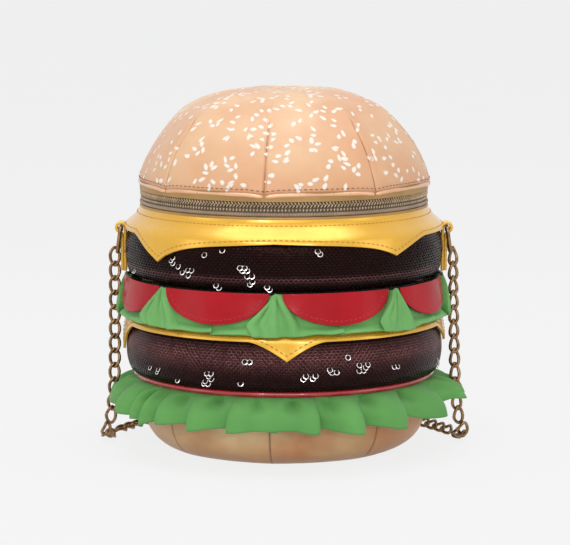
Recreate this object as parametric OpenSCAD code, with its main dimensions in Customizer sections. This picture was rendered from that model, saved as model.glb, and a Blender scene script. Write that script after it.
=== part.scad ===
// Hamburger-shaped zip-around handbag with a chain strap.
// Millimetres, +Z up, front at -Y, origin at the centre of the flat base.

/* [Core] */
// Outer radius of the stiff wall inside the bag
core_r = 73; // [60:0.5:90]
// Thickness of the stiff wall
core_t = 1.4; // [0.8:0.1:3]
// Thickness of the base board
board_t = 2; // [1:0.5:4]
// Thickness of the fabric lining
lining_t = 0.8; // [0.5:0.1:1.5]

/* [Bottom bun] */
// Foam between the stiff wall and the side of the bottom bun
bun_pad = 5.5; // [3:0.5:9]
// Radius of the rounded lower edge of the bottom bun
bun_corner_r = 20; // [16:1:26]
// Height of the bottom bun, up to the red piping
bun_h = 41; // [34:1:50]
// Thickness of the bun's leather
bun_t = 1.5; // [1:0.1:2.5]
// Foam between the base and the base board
base_pad = 6.5; // [6:0.5:12]

/* [Patties] */
// Foam between the stiff wall and the patties where they are widest
patty_pad = 12.8; // [9:0.2:18]
// Foam between the stiff wall and the patties at their seams
patty_seam_pad = 6.8; // [4:0.2:8]
// Height of the lower patty
lower_patty_h = 27; // [20:1:34]
// Height of the upper patty
upper_patty_h = 26; // [20:1:34]
// Thickness of the sequin cloth
patty_t = 1.2; // [0.8:0.1:2]
// Diameter of the red piping under the lower patty
piping_d = 3.2; // [2:0.2:5]

/* [Garnish] */
// Height of the gap between the lower cheese and the upper patty
garnish_h = 25; // [22:0.5:32]
// Width of one tomato slice across its straight top edge
tomato_w = 62; // [48:1:64]
// Drop of one tomato slice below the upper patty
tomato_h = 17; // [12:0.5:19]
// Thickness of one tomato slice
tomato_t = 1.4; // [1:0.1:1.6]
// Turn of the ring of tomato slices
tomato_turn = -2.8; // [-10:0.1:10]
// Thickness of the lettuce cloth
lettuce_t = 1.2; // [0.8:0.1:1.6]
// Depth of the lower lettuce frill
lower_frill_h = 18.5; // [12:0.5:22]
// Reach of the lower lettuce frill from its seam, halfway between fold and crest
lower_frill_reach = 14.5; // [10:0.5:16]
// Height of a fold of the lower frill's edge, from its mean line
lower_fold = 5.5; // [2:0.5:6.5]
// Number of folds round the lower lettuce
lower_folds = 18; // [10:4:26]
// Drop of the upper lettuce frill below the top of the tomatoes
upper_frill_h = 20.5; // [16:0.5:21]
// Reach of the upper frill's edge beyond the patty
upper_frill_reach = 4.5; // [3:0.5:5]
// Height of a fold of the upper frill's edge, from its mean line
upper_fold = 2.6; // [1:0.2:3]
// Number of folds round the upper lettuce
upper_folds = 26; // [14:4:34]

/* [Cheese] */
// Thickness of both cheese sheets
cheese_t = 1.2; // [0.8:0.1:2]
// Gap between a hanging cheese edge and the patty behind it
cheese_gap = 0.4; // [0.3:0.1:1]
// Drop of the lower cheese's corners below its top
lower_tip_drop = 13; // [8:0.5:18]
// Drop of the lower cheese's straight edges below its top
lower_edge_drop = 2.6; // [1.6:0.1:4]
// Half width of one hanging corner of the lower cheese
lower_tip_w = 34; // [24:1:44]
// Turn of the lower cheese, one corner at the front
lower_cheese_turn = 1; // [-8:0.1:8]
// Height of the sloping collar of the upper cheese
collar_h = 10; // [8:0.5:16]
// Drop of the upper cheese's corners below the collar
upper_tip_drop = 13; // [8:0.5:18]
// Drop of the upper cheese's edge at the front and the back
upper_edge_drop = 1.5; // [1:0.1:5]
// Turn of the upper cheese, whose corners stand between front and sides
upper_cheese_turn = -3.6; // [-6:0.1:6]

/* [Zip] */
// Width of the ring panel between the stiff wall and the middle of the zip tape
rim_w = 5.5; // [3:0.1:7]
// Thickness of the zip tape
tape_t = 0.7; // [0.5:0.1:1]
// Tape showing between the collar and the teeth
tape_show = 3.9; // [3:0.1:6]
// Radial thickness of a row of teeth
coil_w = 2.4; // [1.6:0.1:2.8]
// Height of one row of teeth
coil_h = 1.9; // [1.4:0.1:2.6]
// Gap between the two rows that the slider's neck runs in
coil_gap = 1.4; // [1.2:0.1:2]
// Angle of the teeth's end from the middle of the back
zip_end_a = 29; // [28:0.5:34]
// Angle of the parked slider from the middle of the back
slider_a = 34; // [34:0.5:40]
// Angle of the hinge panel's side from the middle of the back
hinge_a = 26; // [20:0.5:27]
// Thickness of the leather hinge panel
hinge_t = 1.1; // [0.8:0.1:1.6]

/* [Slider] */
// Length of the slider along the zip
slider_l = 11; // [9:0.5:12]
// Thickness of one slider plate
slider_t = 1.2; // [0.8:0.1:1.5]
// Gap between a slider plate and the teeth
slider_gap = 0.8; // [0.6:0.1:1]
// Thickness of the neck that joins the two plates
neck_t = 0.8; // [0.6:0.1:0.8]
// Diameter of the bar that the pull tab swings on
bail_d = 1.6; // [1.2:0.1:2]
// Length of the pull tab from its bar
pull_l = 14; // [10:0.5:14]
// Width of the pull tab
pull_w = 7; // [5.6:0.2:9]
// Thickness of the pull tab
pull_t = 1.4; // [1:0.1:1.6]

/* [Lid] */
// Reach of the top bun beyond the middle of the zip tape
lid_reach = 1.5; // [1.2:0.1:3]
// Height of the top bun above its hem
lid_h = 50.4; // [40:0.2:60]
// Thickness of the top bun's leather
lid_t = 1.6; // [1:0.1:2]
// Thickness of the foam inside the top bun
lid_pad_t = 6; // [3:0.5:8]
// Height of the folded hem of the top bun
hem_h = 2.5; // [2:0.1:4]
// Width of the folded hem
hem_w = 1.5; // [1:0.1:2]
// Height of the gold band between the teeth and the hem
band_show = 2.6; // [2:0.1:4]

/* [Side tabs and rings] */
// Width of a side tab
tab_w = 7.6; // [6:0.2:8.4]
// Thickness of a side tab's leather
tab_t = 1.8; // [1.2:0.1:2.4]
// Length of a side tab below its loop
tab_tail = 24; // [16:1:26]
// Wire diameter of a strap ring
ring_d = 2.2; // [1.8:0.1:2.6]
// Width of a strap ring between wire centres
ring_w = 12; // [11:0.5:15]
// Height of a strap ring between wire centres
ring_h = 13.5; // [11:0.5:16]
// Lean of a strap ring away from the bag
ring_lean = 8; // [4:1:14]

/* [Chain strap] */
// Outer width of the chain
chain_d = 7.2; // [6:0.1:7.4]
// Outer radius of the wound length behind the bag
wound_r = 46.4; // [44:0.2:47]

/* [Hidden] */
$fn = 96;
tiny = 0.01;
fit = 0.05;
slices = 8;
half_corner = 45;

// Radii
inner_r = core_r - core_t - lining_t;
bun_r = core_r + bun_pad + bun_t;
base_r = bun_r - bun_corner_r;
patty_r = core_r + patty_pad + patty_t;
patty_seam_r = core_r + patty_seam_pad + patty_t;
zip_r = core_r + rim_w;
tape_in_r = zip_r - tape_t / 2;
tape_out_r = zip_r + tape_t / 2;
lid_r = zip_r + lid_reach;
cheese_r = patty_r + cheese_gap + cheese_t;
lettuce_seam_r = bun_r + lettuce_t / 2;
piping_r = bun_r + piping_d / 2 + 0.4;
band_t = 0.8;
hinge_y = tape_out_r + hinge_t + 0.3;
plate_in_r = zip_r - coil_w / 2 - slider_gap;
plate_out_r = zip_r + coil_w / 2 + slider_gap;
bail_r = plate_out_r + slider_t + bail_d / 2 + 1.7;

// Heights, from the floor up
board_z = max(bun_t + base_pad, bun_inner_z(core_r + 1));
floor_z = board_z + board_t;
piping_z = bun_h + piping_d / 2;
lower_patty_z = bun_h + piping_d;
lower_cheese_z = lower_patty_z + lower_patty_h + cheese_t;
upper_patty_z = lower_cheese_z + garnish_h;
shoulder_z = upper_patty_z + upper_patty_h + cheese_t + 0.5;
rim_z = shoulder_z + collar_h;
flange_h = 1.5;
core_top_z = rim_z - 2 * flange_h;
coil_z = rim_z + tape_show;
zip_z = coil_z + coil_h + coil_gap / 2;
upper_coil_z = zip_z + coil_gap / 2;
band_z = upper_coil_z + coil_h;
hem_z = band_z + band_show;
dome_z = hem_z + hem_h;

// Lean of the hanging pull tab, which rests on the shoulder of the cheese
pull_lean = atan2(cheese_r - bail_r + pull_t + 0.3, zip_z - shoulder_z - 1);

// The chain's route over the floor, past each side of the bag and behind it
left_route = [
    [-93.8, 0, 106], [-94.4, 0, 94], [-95, 0, 78], [-95.6, 0, 60], [-96.2, 0, 42], [-96.8, 0, 28],
    [-97.4, 1, 18], [-97.8, 4, 10], [-97.6, 11, 5], [-95.6, 22, 3.7], [-88, 36, 3.7], [-79, 50, 3.7],
    [-70, 64, 3.7], [-64, 80, 3.7], [-61, 98, 3.7], [-60, 116, 3.7], [-58, 134, 3.7],
    [-52, 150, 3.7], [-42, 162, 3.7], [-34, 169, 3.7]
];
right_route = [
    [93.8, 0, 106], [94.4, 0, 94], [95.2, 0, 78], [96, 0, 60], [96.8, 0, 42], [97.6, 0, 28],
    [98.2, 1, 18], [98.4, 4, 10], [97.8, 11, 5], [95, 22, 3.7], [87, 37, 3.7], [78, 52, 3.7],
    [67, 67, 3.7], [55, 80, 3.7], [44, 88, 3.7], [34, 93, 3.7]
];
wound_y = 132;

// Height of the bottom bun's inner face at radius r
function bun_inner_z(r) = bun_corner_r
    - sqrt(max(0, pow(bun_corner_r - bun_t, 2) - pow(max(0, r - base_r), 2)));

// An open outline moved to its left by t, kept on the outer side of the axis
function unit(v) = v / norm(v);
function left_of(a, b) = let (d = unit(b - a)) [-d[1], d[0]];
function corner_normal(p, i) =
    let (before = left_of(p[max(i - 1, 0)], p[max(i, 1)]),
         after = left_of(p[min(i, len(p) - 2)], p[min(i + 1, len(p) - 1)]),
         mean = unit(before + after))
    mean / (mean * before);
function inset(p, t) = [for (i = [0:len(p) - 1])
    let (q = p[i] + corner_normal(p, i) * t) [max(0, q[0]), q[1]]];
function reversed(p) = [for (i = [len(p) - 1:-1:0]) p[i]];
function wall(p, t) = concat(p, reversed(inset(p, t)));

// Outlines of radius and height, read from the bottom up
function bun_line() = concat([[0, 0]],
    [for (a = [-90:10:0]) [base_r + bun_corner_r * cos(a), bun_corner_r * (1 + sin(a))]],
    [[bun_r, bun_h]]);
function patty_line(z0, h) = [for (i = [0:10])
    let (a = 18 * i) [patty_seam_r + (patty_r - patty_seam_r) * pow(sin(a), 0.7),
                      z0 + h * (1 - cos(a)) / 2]];
function lower_cheese_line() = concat(
    [[cheese_r, lower_cheese_z - lower_tip_drop - 1]],
    [for (a = [0:30:90]) [cheese_r - 2 + 2 * cos(a), lower_cheese_z - 2 + 2 * sin(a)]],
    [[core_r, lower_cheese_z]]);
function upper_cheese_line() = [
    [cheese_r, shoulder_z - upper_tip_drop - 1],
    [cheese_r, shoulder_z - 2],
    [cheese_r - 0.8, shoulder_z],
    [tape_out_r + cheese_t + 0.8, rim_z - flange_h - 0.6],
    [tape_out_r + cheese_t, rim_z - flange_h],
    [tape_out_r + cheese_t, rim_z]];
function dome_line() = concat([[lid_r, dome_z]],
    [for (i = [0:10]) let (a = 9 * i)
        [lid_r * pow(cos(a), 0.57), dome_z + 1 + (lid_h - 1) * pow(sin(a), 1.62)]]);

module turned(points) { rotate_extrude() polygon(points); }
module band(r0, r1, z0, z1) { turned([[r0, z0], [r1, z0], [r1, z1], [r0, z1]]); }

// Part of a ring: from a0 to a1 degrees, measured from the back towards the right side
module arc_band(r0, r1, z0, z1, a0, a1) {
    rotate([0, 0, 90 - a1]) rotate_extrude(angle = a1 - a0)
        polygon([[r0, z0], [r1, z0], [r1, z1], [r0, z1]]);
}

// Bottom bun and core
module bottom_bun() { color("tan") turned(wall(bun_line(), bun_t)); }

module bottom_bun_padding() {
    color("linen") turned(concat(inset(bun_line(), bun_t),
        [[core_r, bun_h], [core_r, board_z], [0, board_z]]));
}

module base_board() { color("dimgray") translate([0, 0, board_z]) cylinder(r = core_r, h = board_t); }

module core_wall() { color("darkgray") band(core_r - core_t, core_r, floor_z, core_top_z); }

module body_lining() {
    lining_r = core_r - core_t;
    color("darkkhaki") turned([[0, floor_z], [lining_r, floor_z], [lining_r, core_top_z],
        [inner_r, core_top_z], [inner_r, floor_z + lining_t], [0, floor_z + lining_t]]);
}

module body_rim() { color("goldenrod") band(inner_r, tape_in_r, core_top_z, core_top_z + flange_h); }

// Patties
module patty(z0, h) { color("#3a2626") turned(wall(patty_line(z0, h), patty_t)); }

module patty_padding(z0, h) {
    color("linen") turned(concat([[core_r, z0]], inset(patty_line(z0, h), patty_t), [[core_r, z0 + h]]));
}

module collar_padding() {
    under = inset(upper_cheese_line(), cheese_t + 0.2);
    color("linen") turned([[core_r, shoulder_z - cheese_t - 0.4], [patty_seam_r, shoulder_z - cheese_t - 0.4],
        under[2], [tape_in_r, core_top_z], [core_r, core_top_z]]);
}

// Cheese sheets, hung over the patties and cut to four corners
module lower_cheese() {
    below_z = lower_cheese_z - lower_tip_drop - 5;
    edge_z = lower_cheese_z - lower_edge_drop;
    tip_z = lower_cheese_z - lower_tip_drop;
    side_w = cheese_r * sin(half_corner) - lower_tip_w * cos(half_corner);
    color("gold") rotate([0, 0, lower_cheese_turn]) difference() {
        turned(wall(lower_cheese_line(), cheese_t));
        for (k = [0:3]) rotate([0, 0, half_corner + 90 * k]) translate([0, -cheese_r / 3, 0]) rotate([90, 0, 0])
            linear_extrude(cheese_r) polygon([
                [-cheese_r * sin(half_corner), tip_z], [-side_w, edge_z], [side_w, edge_z],
                [cheese_r * sin(half_corner), tip_z], [cheese_r, below_z], [-cheese_r, below_z]]);
    }
}

module upper_cheese() {
    half = cheese_r * sin(half_corner);
    edge_z = shoulder_z - upper_edge_drop;
    drop = upper_tip_drop - upper_edge_drop;
    cut_r = (half * half + drop * drop) / (2 * drop);
    color("gold") rotate([0, 0, upper_cheese_turn]) difference() {
        turned(wall(upper_cheese_line(), cheese_t));
        for (k = [0:3]) rotate([0, 0, 90 * k]) translate([0, -cheese_r / 2, edge_z - cut_r + (k % 2) * 3])
            rotate([90, 0, 0]) cylinder(r = cut_r + (k % 2) * tiny, h = cheese_r, $fn = 360);
    }
}

// Tomato slices: round flaps that lean outwards over the lettuce
module tomato_slice(k) {
    top_z = upper_patty_z - 0.2;
    low_z = top_z - tomato_h;
    slice_r = (pow(tomato_w / 2, 2) + pow(tomato_h, 2)) / (2 * tomato_h);
    line = [[patty_r + tomato_t + 1.8, low_z - 1], [patty_r + tomato_t - 1.2, top_z]];
    color("crimson") rotate([0, 0, tomato_turn + 360 / slices * (k + 0.5)]) intersection() {
        turned(wall(line, tomato_t));
        translate([0, 0, low_z + slice_r]) rotate([90, 0, 0]) cylinder(r = slice_r, h = 2 * patty_r, $fn = 180);
    }
}

// Lettuce frills: a sheet whose folds deepen towards its edge.
// line holds [radius, height, fold depth] from the seam to the edge.
module frill(line, folds, t) {
    rows = len(line);
    steps = folds * 6;
    function point(j, i, side) =
        let (a = 360 * i / steps, n = line[j])
        [(n[0] + n[2] * cos(folds * a) + side) * sin(a), -(n[0] + n[2] * cos(folds * a) + side) * cos(a),
         n[1] + 0.35 * n[2] * cos(folds * a)];
    points = [for (side = [t / 2, -t / 2]) for (j = [0:rows - 1]) for (i = [0:steps - 1]) point(j, i, side)];
    function at(side, j, i) = (side * rows + j) * steps + i % steps;
    polyhedron(points, concat(
        [for (j = [0:rows - 2]) for (i = [0:steps - 1]) for (f = [
            [at(0, j, i), at(0, j + 1, i + 1), at(0, j + 1, i)], [at(0, j, i), at(0, j, i + 1), at(0, j + 1, i + 1)],
            [at(1, j, i), at(1, j + 1, i), at(1, j + 1, i + 1)], [at(1, j, i), at(1, j + 1, i + 1), at(1, j, i + 1)]]) f],
        [for (i = [0:steps - 1]) for (f = [
            [at(0, 0, i), at(1, 0, i), at(1, 0, i + 1)], [at(0, 0, i), at(1, 0, i + 1), at(0, 0, i + 1)],
            [at(0, rows - 1, i), at(1, rows - 1, i + 1), at(1, rows - 1, i)],
            [at(0, rows - 1, i), at(0, rows - 1, i + 1), at(1, rows - 1, i + 1)]]) f]));
}

module upper_lettuce() {
    top_z = upper_patty_z - 1.5;
    color("limegreen") frill([
        [patty_r - 3.4, top_z, 0],
        [patty_r - 1.8, top_z - 0.5 * upper_frill_h, 0],
        [patty_r + 0.2, top_z - 0.8 * upper_frill_h, 0.25 * upper_fold],
        [patty_r + upper_frill_reach, top_z - upper_frill_h, upper_fold]], upper_folds, lettuce_t);
}

module lower_lettuce() {
    top_z = bun_h - 0.4;
    color("green") frill([
        [lettuce_seam_r, top_z, 0],
        [lettuce_seam_r + 0.42 * lower_frill_reach, top_z - 0.17 * lower_frill_h, 0.3 * lower_fold],
        [lettuce_seam_r + 0.78 * lower_frill_reach, top_z - 0.52 * lower_frill_h, 0.7 * lower_fold],
        [lettuce_seam_r + lower_frill_reach, top_z - lower_frill_h, lower_fold]], lower_folds, lettuce_t);
}

module red_piping() {
    color("crimson") rotate_extrude() translate([piping_r, piping_z]) circle(d = piping_d, $fn = 24);
}

// Zip
module zip_tape_lower() {
    color("darkkhaki") arc_band(tape_in_r, tape_out_r, core_top_z, coil_z, hinge_a - 6, 366 - hinge_a);
}

module zip_teeth_lower() {
    color("peru") arc_band(zip_r - coil_w / 2, zip_r + coil_w / 2, coil_z, coil_z + coil_h,
        zip_end_a, 360 - zip_end_a);
}

module zip_end_stops() {
    color("peru") for (a = [zip_end_a - 1.5, 360 - zip_end_a])
        arc_band(zip_r - coil_w / 2, zip_r + coil_w / 2, coil_z, coil_z + coil_h, a, a + 1.5);
}

module zip_tape_upper() {
    color("darkkhaki") arc_band(tape_in_r, tape_out_r, band_z, dome_z, hinge_a - 6, 366 - hinge_a);
}

module zip_teeth_upper() {
    color("peru") arc_band(zip_r - coil_w / 2, zip_r + coil_w / 2, upper_coil_z, band_z,
        zip_end_a, 360 - zip_end_a);
}

// The leather that joins lid and body at the back
module hinge_panel() {
    color("goldenrod") arc_band(tape_out_r, tape_out_r + hinge_t, rim_z + tiny, hem_z - tiny, -hinge_a, hinge_a);
}

// Slider and pull tab, drawn at the parked place
module at_slider() { translate([0, 0, zip_z]) rotate([0, 0, -slider_a]) children(); }

module zip_slider() {
    half_a = slider_l / 2 / plate_out_r * 180 / PI;
    low_z = coil_z - 0.6;
    high_z = band_z;
    lug_x = pull_w / 2 - 1;
    color("peru") union() {
        arc_band(plate_out_r, plate_out_r + slider_t, low_z, high_z, slider_a - half_a, slider_a + half_a);
        arc_band(plate_in_r - slider_t, plate_in_r, low_z, high_z, slider_a - half_a, slider_a + half_a);
        arc_band(plate_in_r - tiny, plate_out_r + tiny, zip_z - neck_t / 2, zip_z + neck_t / 2,
            slider_a - 1.5, slider_a + 1.5);
        at_slider() {
            for (s = [-1, 1]) translate([s * (lug_x + 0.6) - 0.6, plate_out_r + slider_t / 2, -1.4])
                cube([1.2, bail_r - plate_out_r - slider_t / 2 + bail_d / 2 + 0.4, 2.8]);
            translate([-lug_x - 0.6, bail_r, 0]) rotate([0, 90, 0])
                cylinder(d = bail_d, h = 2 * lug_x + 1.2, $fn = 48);
        }
    }
}

module zip_puller() {
    eye_w = pull_w - 2.6;
    color("peru") at_slider() translate([0, bail_r, 0]) rotate([pull_lean, 0, 0]) difference() {
        union() {
            translate([-eye_w / 2, 0, 0]) rotate([0, 90, 0]) cylinder(r = bail_d / 2 + 1, h = eye_w, $fn = 48);
            translate([-eye_w / 2, -pull_t / 2, -3]) cube([eye_w, pull_t, 3 - bail_d / 2]);
            translate([-pull_w / 2, -pull_t / 2, -pull_l + pull_w / 2])
                cube([pull_w, pull_t, pull_l - pull_w / 2 - 2.6]);
            translate([0, pull_t / 2, -pull_l + pull_w / 2]) rotate([90, 0, 0])
                cylinder(d = pull_w, h = pull_t, $fn = 48);
        }
        translate([-pull_w, 0, 0]) rotate([0, 90, 0]) cylinder(d = bail_d + 2 * fit, h = 2 * pull_w, $fn = 48);
    }
}

// Lid
module top_bun() { color("navajowhite") turned(wall(dome_line(), lid_t)); }

module top_bun_padding() {
    color("linen") turned(wall(inset(dome_line(), lid_t), lid_pad_t));
}

module lid_lining() {
    outer = inset(dome_line(), lid_t + lid_pad_t);
    inner = inset(dome_line(), lid_t + lid_pad_t + lining_t);
    color("darkkhaki") turned(concat([[tape_in_r, dome_z - lining_t], [tape_in_r, dome_z]], outer,
        reversed(inner), [[inner[0][0], dome_z - lining_t]]));
}

module lid_band() {
    out_r = tape_out_r + band_t;
    side_a = hinge_a + 0.5;
    color("goldenrod") difference() {
        band(tape_out_r, out_r, band_z + 0.3, dome_z);
        arc_band(tape_out_r - 1, out_r + 1, band_z - 1, hem_z, -side_a, side_a);
    }
}

module bun_hem() {
    in_r = tape_out_r + band_t;
    bead = hem_w / 2;
    color("peachpuff") turned([[in_r, hem_z], [in_r + bead, hem_z], [in_r + hem_w, hem_z + bead],
        [in_r + hem_w, dome_z - bead / 2], [in_r + bead, dome_z], [in_r, dome_z]]);
}

// Side tabs and rings. side is -1 on the left and 1 on the right.
function loop_x() = patty_r + ring_d / 2 + tab_t + 0.3;
function loop_z() = shoulder_z - 2.6;

module side_tab(side) {
    hole_r = ring_d / 2 + 0.2;
    color("goldenrod") mirror([side < 0 ? 1 : 0, 0, 0]) difference() {
        union() {
            translate([loop_x(), tab_w / 2, loop_z()]) rotate([90, 0, 0])
                cylinder(r = hole_r + tab_t - 0.2, h = tab_w, $fn = 48);
            translate([patty_r, -tab_w / 2, loop_z() - tab_tail]) cube([tab_t, tab_w, tab_tail]);
        }
        translate([loop_x(), tab_w, loop_z()]) rotate([90, 0, 0]) cylinder(r = hole_r, h = 2 * tab_w, $fn = 48);
    }
}

module strap_ring(side) {
    bend = 2;
    flat_y = ring_w / 2 - bend;
    flat_z = ring_h - 2 * bend;
    color("sienna") mirror([side < 0 ? 1 : 0, 0, 0]) translate([loop_x(), 0, loop_z()])
        rotate([0, -ring_lean, 0]) union() {
            for (z = [0, -ring_h]) translate([0, flat_y, z]) rotate([90, 0, 0])
                cylinder(d = ring_d, h = 2 * flat_y, $fn = 32);
            for (y = [-1, 1]) translate([0, y * ring_w / 2, -ring_h + bend]) cylinder(d = ring_d, h = flat_z, $fn = 32);
            for (c = [[1, 0, 0], [-1, 0, 1], [-1, 1, 2], [1, 1, 3]])
                translate([0, c[0] * flat_y, -bend - c[1] * flat_z]) rotate([90 * c[2], 0, 0]) rotate([0, 90, 0])
                    rotate([0, 0, 90]) rotate_extrude(angle = 90) translate([bend, 0]) circle(d = ring_d, $fn = 32);
        }
}

// Chain strap: a plain tube along each route, and the wound length as one flat disc
function heading(p, i) = unit(p[min(i + 1, len(p) - 1)] - p[max(i - 1, 0)]);
module tube(p, d, sides) {
    rings = len(p);
    function ring_point(i, k) =
        let (h = heading(p, i), u = unit(cross(h, [0.3, 0.2, 1] - h * (h * [0.3, 0.2, 1]))), v = cross(h, u),
             a = 360 * k / sides)
        p[i] + (u * cos(a) + v * sin(a)) * d / 2;
    points = [for (i = [0:rings - 1]) for (k = [0:sides - 1]) ring_point(i, k)];
    faces = concat(
        [for (i = [0:rings - 2]) for (k = [0:sides - 1]) for (f = [
            [i * sides + k, (i + 1) * sides + (k + 1) % sides, (i + 1) * sides + k],
            [i * sides + k, i * sides + (k + 1) % sides, (i + 1) * sides + (k + 1) % sides]]) f],
        [[for (k = [0:sides - 1]) sides - 1 - k], [for (k = [0:sides - 1]) (rings - 1) * sides + k]]);
    polyhedron(points, faces);
}

module chain_strap_left() { color("saddlebrown") tube(left_route, chain_d, 10); }
module chain_strap_right() { color("saddlebrown") tube(right_route, chain_d, 10); }

module chain_strap_wound() {
    edge = chain_d / 4;
    color("saddlebrown") translate([0, wound_y, 0]) turned([[0, 0], [wound_r - edge, 0], [wound_r, edge],
        [wound_r, chain_d - edge], [wound_r - edge, chain_d], [0, chain_d]]);
}

bottom_bun();
bottom_bun_padding();
base_board();
core_wall();
body_lining();
body_rim();
patty(lower_patty_z, lower_patty_h);  // lower_patty
patty_padding(lower_patty_z, lower_patty_h);  // lower_patty_padding
patty(upper_patty_z, upper_patty_h);  // upper_patty
patty_padding(upper_patty_z, upper_patty_h);  // upper_patty_padding
collar_padding();
lower_cheese();
upper_cheese();
for (i = [1:slices]) tomato_slice(i - 1);
upper_lettuce();
lower_lettuce();
red_piping();
zip_tape_lower();
zip_teeth_lower();
zip_end_stops();
hinge_panel();
side_tab(-1);  // side_tab_left
side_tab(1);  // side_tab_right
strap_ring(-1);  // strap_ring_left
strap_ring(1);  // strap_ring_right
chain_strap_left();
chain_strap_right();
chain_strap_wound();
top_bun();
top_bun_padding();
lid_lining();
bun_hem();
lid_band();
zip_tape_upper();
zip_teeth_upper();
zip_slider();
zip_puller();
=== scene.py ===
import math
import random

import bmesh
import bpy
from mathutils import Matrix, Vector, noise


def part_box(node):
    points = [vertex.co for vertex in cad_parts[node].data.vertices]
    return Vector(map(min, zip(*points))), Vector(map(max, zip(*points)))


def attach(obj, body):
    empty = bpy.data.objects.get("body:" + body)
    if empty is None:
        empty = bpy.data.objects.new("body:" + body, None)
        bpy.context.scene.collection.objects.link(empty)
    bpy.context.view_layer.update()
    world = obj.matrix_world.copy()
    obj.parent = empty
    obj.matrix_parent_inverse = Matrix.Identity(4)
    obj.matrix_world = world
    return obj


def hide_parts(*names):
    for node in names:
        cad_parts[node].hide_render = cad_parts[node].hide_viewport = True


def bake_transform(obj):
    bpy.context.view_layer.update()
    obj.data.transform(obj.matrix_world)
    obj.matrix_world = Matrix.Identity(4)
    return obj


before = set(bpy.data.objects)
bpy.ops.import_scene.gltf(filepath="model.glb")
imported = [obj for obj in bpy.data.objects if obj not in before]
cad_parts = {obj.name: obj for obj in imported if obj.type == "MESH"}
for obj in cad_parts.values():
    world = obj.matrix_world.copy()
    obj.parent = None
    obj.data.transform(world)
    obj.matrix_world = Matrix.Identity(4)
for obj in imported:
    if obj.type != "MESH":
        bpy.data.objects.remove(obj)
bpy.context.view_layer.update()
scene = bpy.context.scene
mm = 0.001
print("frame loaded")


# Camera, lamps and floor

view = {
    "distance": 1.5,
    "elevation": 7.5,
    "target": (0.0006, 0.0, 0.0969),
    "pixelsPerMetre": 1800,  # at the bag's axis
    "imageWidth": 570,
}

light = {
    "topPower": 10.4,
    "topSize": (1.3, 0.9),
    "topPlace": (0.0, -0.15, 1.35),
    "frontPower": 5.4,
    "frontSize": (1.1, 0.7),
    "frontPlace": (-0.2, -1.7, 0.75),
    "sidePower": 1.8,
    "sideSize": (0.5, 0.9),
    "sidePlace": (1.5, -0.7, 0.5),
    "sparkPower": 2.6,
    "sparkSize": 0.06,
    "sparks": {"spark_left": (-0.5, -1.6, 0.9), "spark_right": (0.45, -1.8, 0.5)},
    "room": 0.46,
    "roomTint": (0.94, 0.96, 1),
    "backdrop": 0.92,
    "paper": 0.8,
    "floorSize": 60,
    "floorGlow": 0.9,  # how far the floor's colour ignores shadows
}


def addCamera():
    cam = bpy.data.objects.new("camera", bpy.data.cameras.new("camera"))
    scene.collection.objects.link(cam)
    tilt = math.radians(view["elevation"])
    back = Vector((0, -math.cos(tilt), math.sin(tilt)))
    cam.location = Vector(view["target"]) + back * view["distance"]
    cam.rotation_euler = (math.radians(90 - view["elevation"]), 0, 0)
    cam.data.sensor_width = 36
    cam.data.lens = view["pixelsPerMetre"] * view["distance"] / view["imageWidth"] * 36
    cam.data.clip_end = 200
    scene.camera = cam


def addLamp(name, place, size, power, tint=(1, 1, 1)):
    lamp = bpy.data.objects.new(name, bpy.data.lights.new(name, "AREA"))
    scene.collection.objects.link(lamp)
    lamp.location = place
    aim = Vector((0, 0, 0.1)) - Vector(place)
    lamp.rotation_euler = aim.to_track_quat("-Z", "Y").to_euler()
    lamp.data.shape = "RECTANGLE"
    lamp.data.size, lamp.data.size_y = size
    lamp.data.energy = power
    lamp.data.color = tint


def addNode(tree, kind, settings=None, **values):
    made = tree.nodes.new(kind)
    for key, value in (settings or {}).items():
        setattr(made, key, value)
    for key, value in values.items():
        made.inputs[key].default_value = value
    return made


def addFloor():
    bm = bmesh.new()
    bmesh.ops.create_grid(bm, x_segments=1, y_segments=1, size=light["floorSize"])
    mesh = bpy.data.meshes.new("floor")
    bm.to_mesh(mesh)
    bm.free()
    floor = bpy.data.objects.new("floor", mesh)
    scene.collection.objects.link(floor)
    mat = bpy.data.materials.new("floor_paper")
    mat.use_nodes = True
    tree = mat.node_tree
    tree.nodes.clear()
    grey = (light["backdrop"],) * 3 + (1,)
    out = addNode(tree, "ShaderNodeOutputMaterial")
    paper = addNode(tree, "ShaderNodeBsdfDiffuse", Color=(light["paper"],) * 3 + (1,))
    glow = addNode(tree, "ShaderNodeEmission", Color=grey)
    mix = addNode(tree, "ShaderNodeMixShader")
    share = addNode(tree, "ShaderNodeMath", {"operation": "MULTIPLY"})
    share.inputs[1].default_value = light["floorGlow"]
    seen = cameraOrGloss(tree)
    tree.links.new(seen, share.inputs[0])
    tree.links.new(share.outputs[0], mix.inputs[0])
    tree.links.new(paper.outputs[0], mix.inputs[1])
    tree.links.new(glow.outputs[0], mix.inputs[2])
    tree.links.new(mix.outputs[0], out.inputs[0])
    mesh.materials.append(mat)


def cameraOrGloss(tree):
    path = addNode(tree, "ShaderNodeLightPath")
    first = addNode(tree, "ShaderNodeMath", {"operation": "MAXIMUM"})
    second = addNode(tree, "ShaderNodeMath", {"operation": "MAXIMUM"})
    tree.links.new(path.outputs["Is Camera Ray"], first.inputs[0])
    tree.links.new(path.outputs["Is Glossy Ray"], first.inputs[1])
    tree.links.new(first.outputs[0], second.inputs[0])
    tree.links.new(path.outputs["Is Transmission Ray"], second.inputs[1])
    return second.outputs[0]


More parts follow.
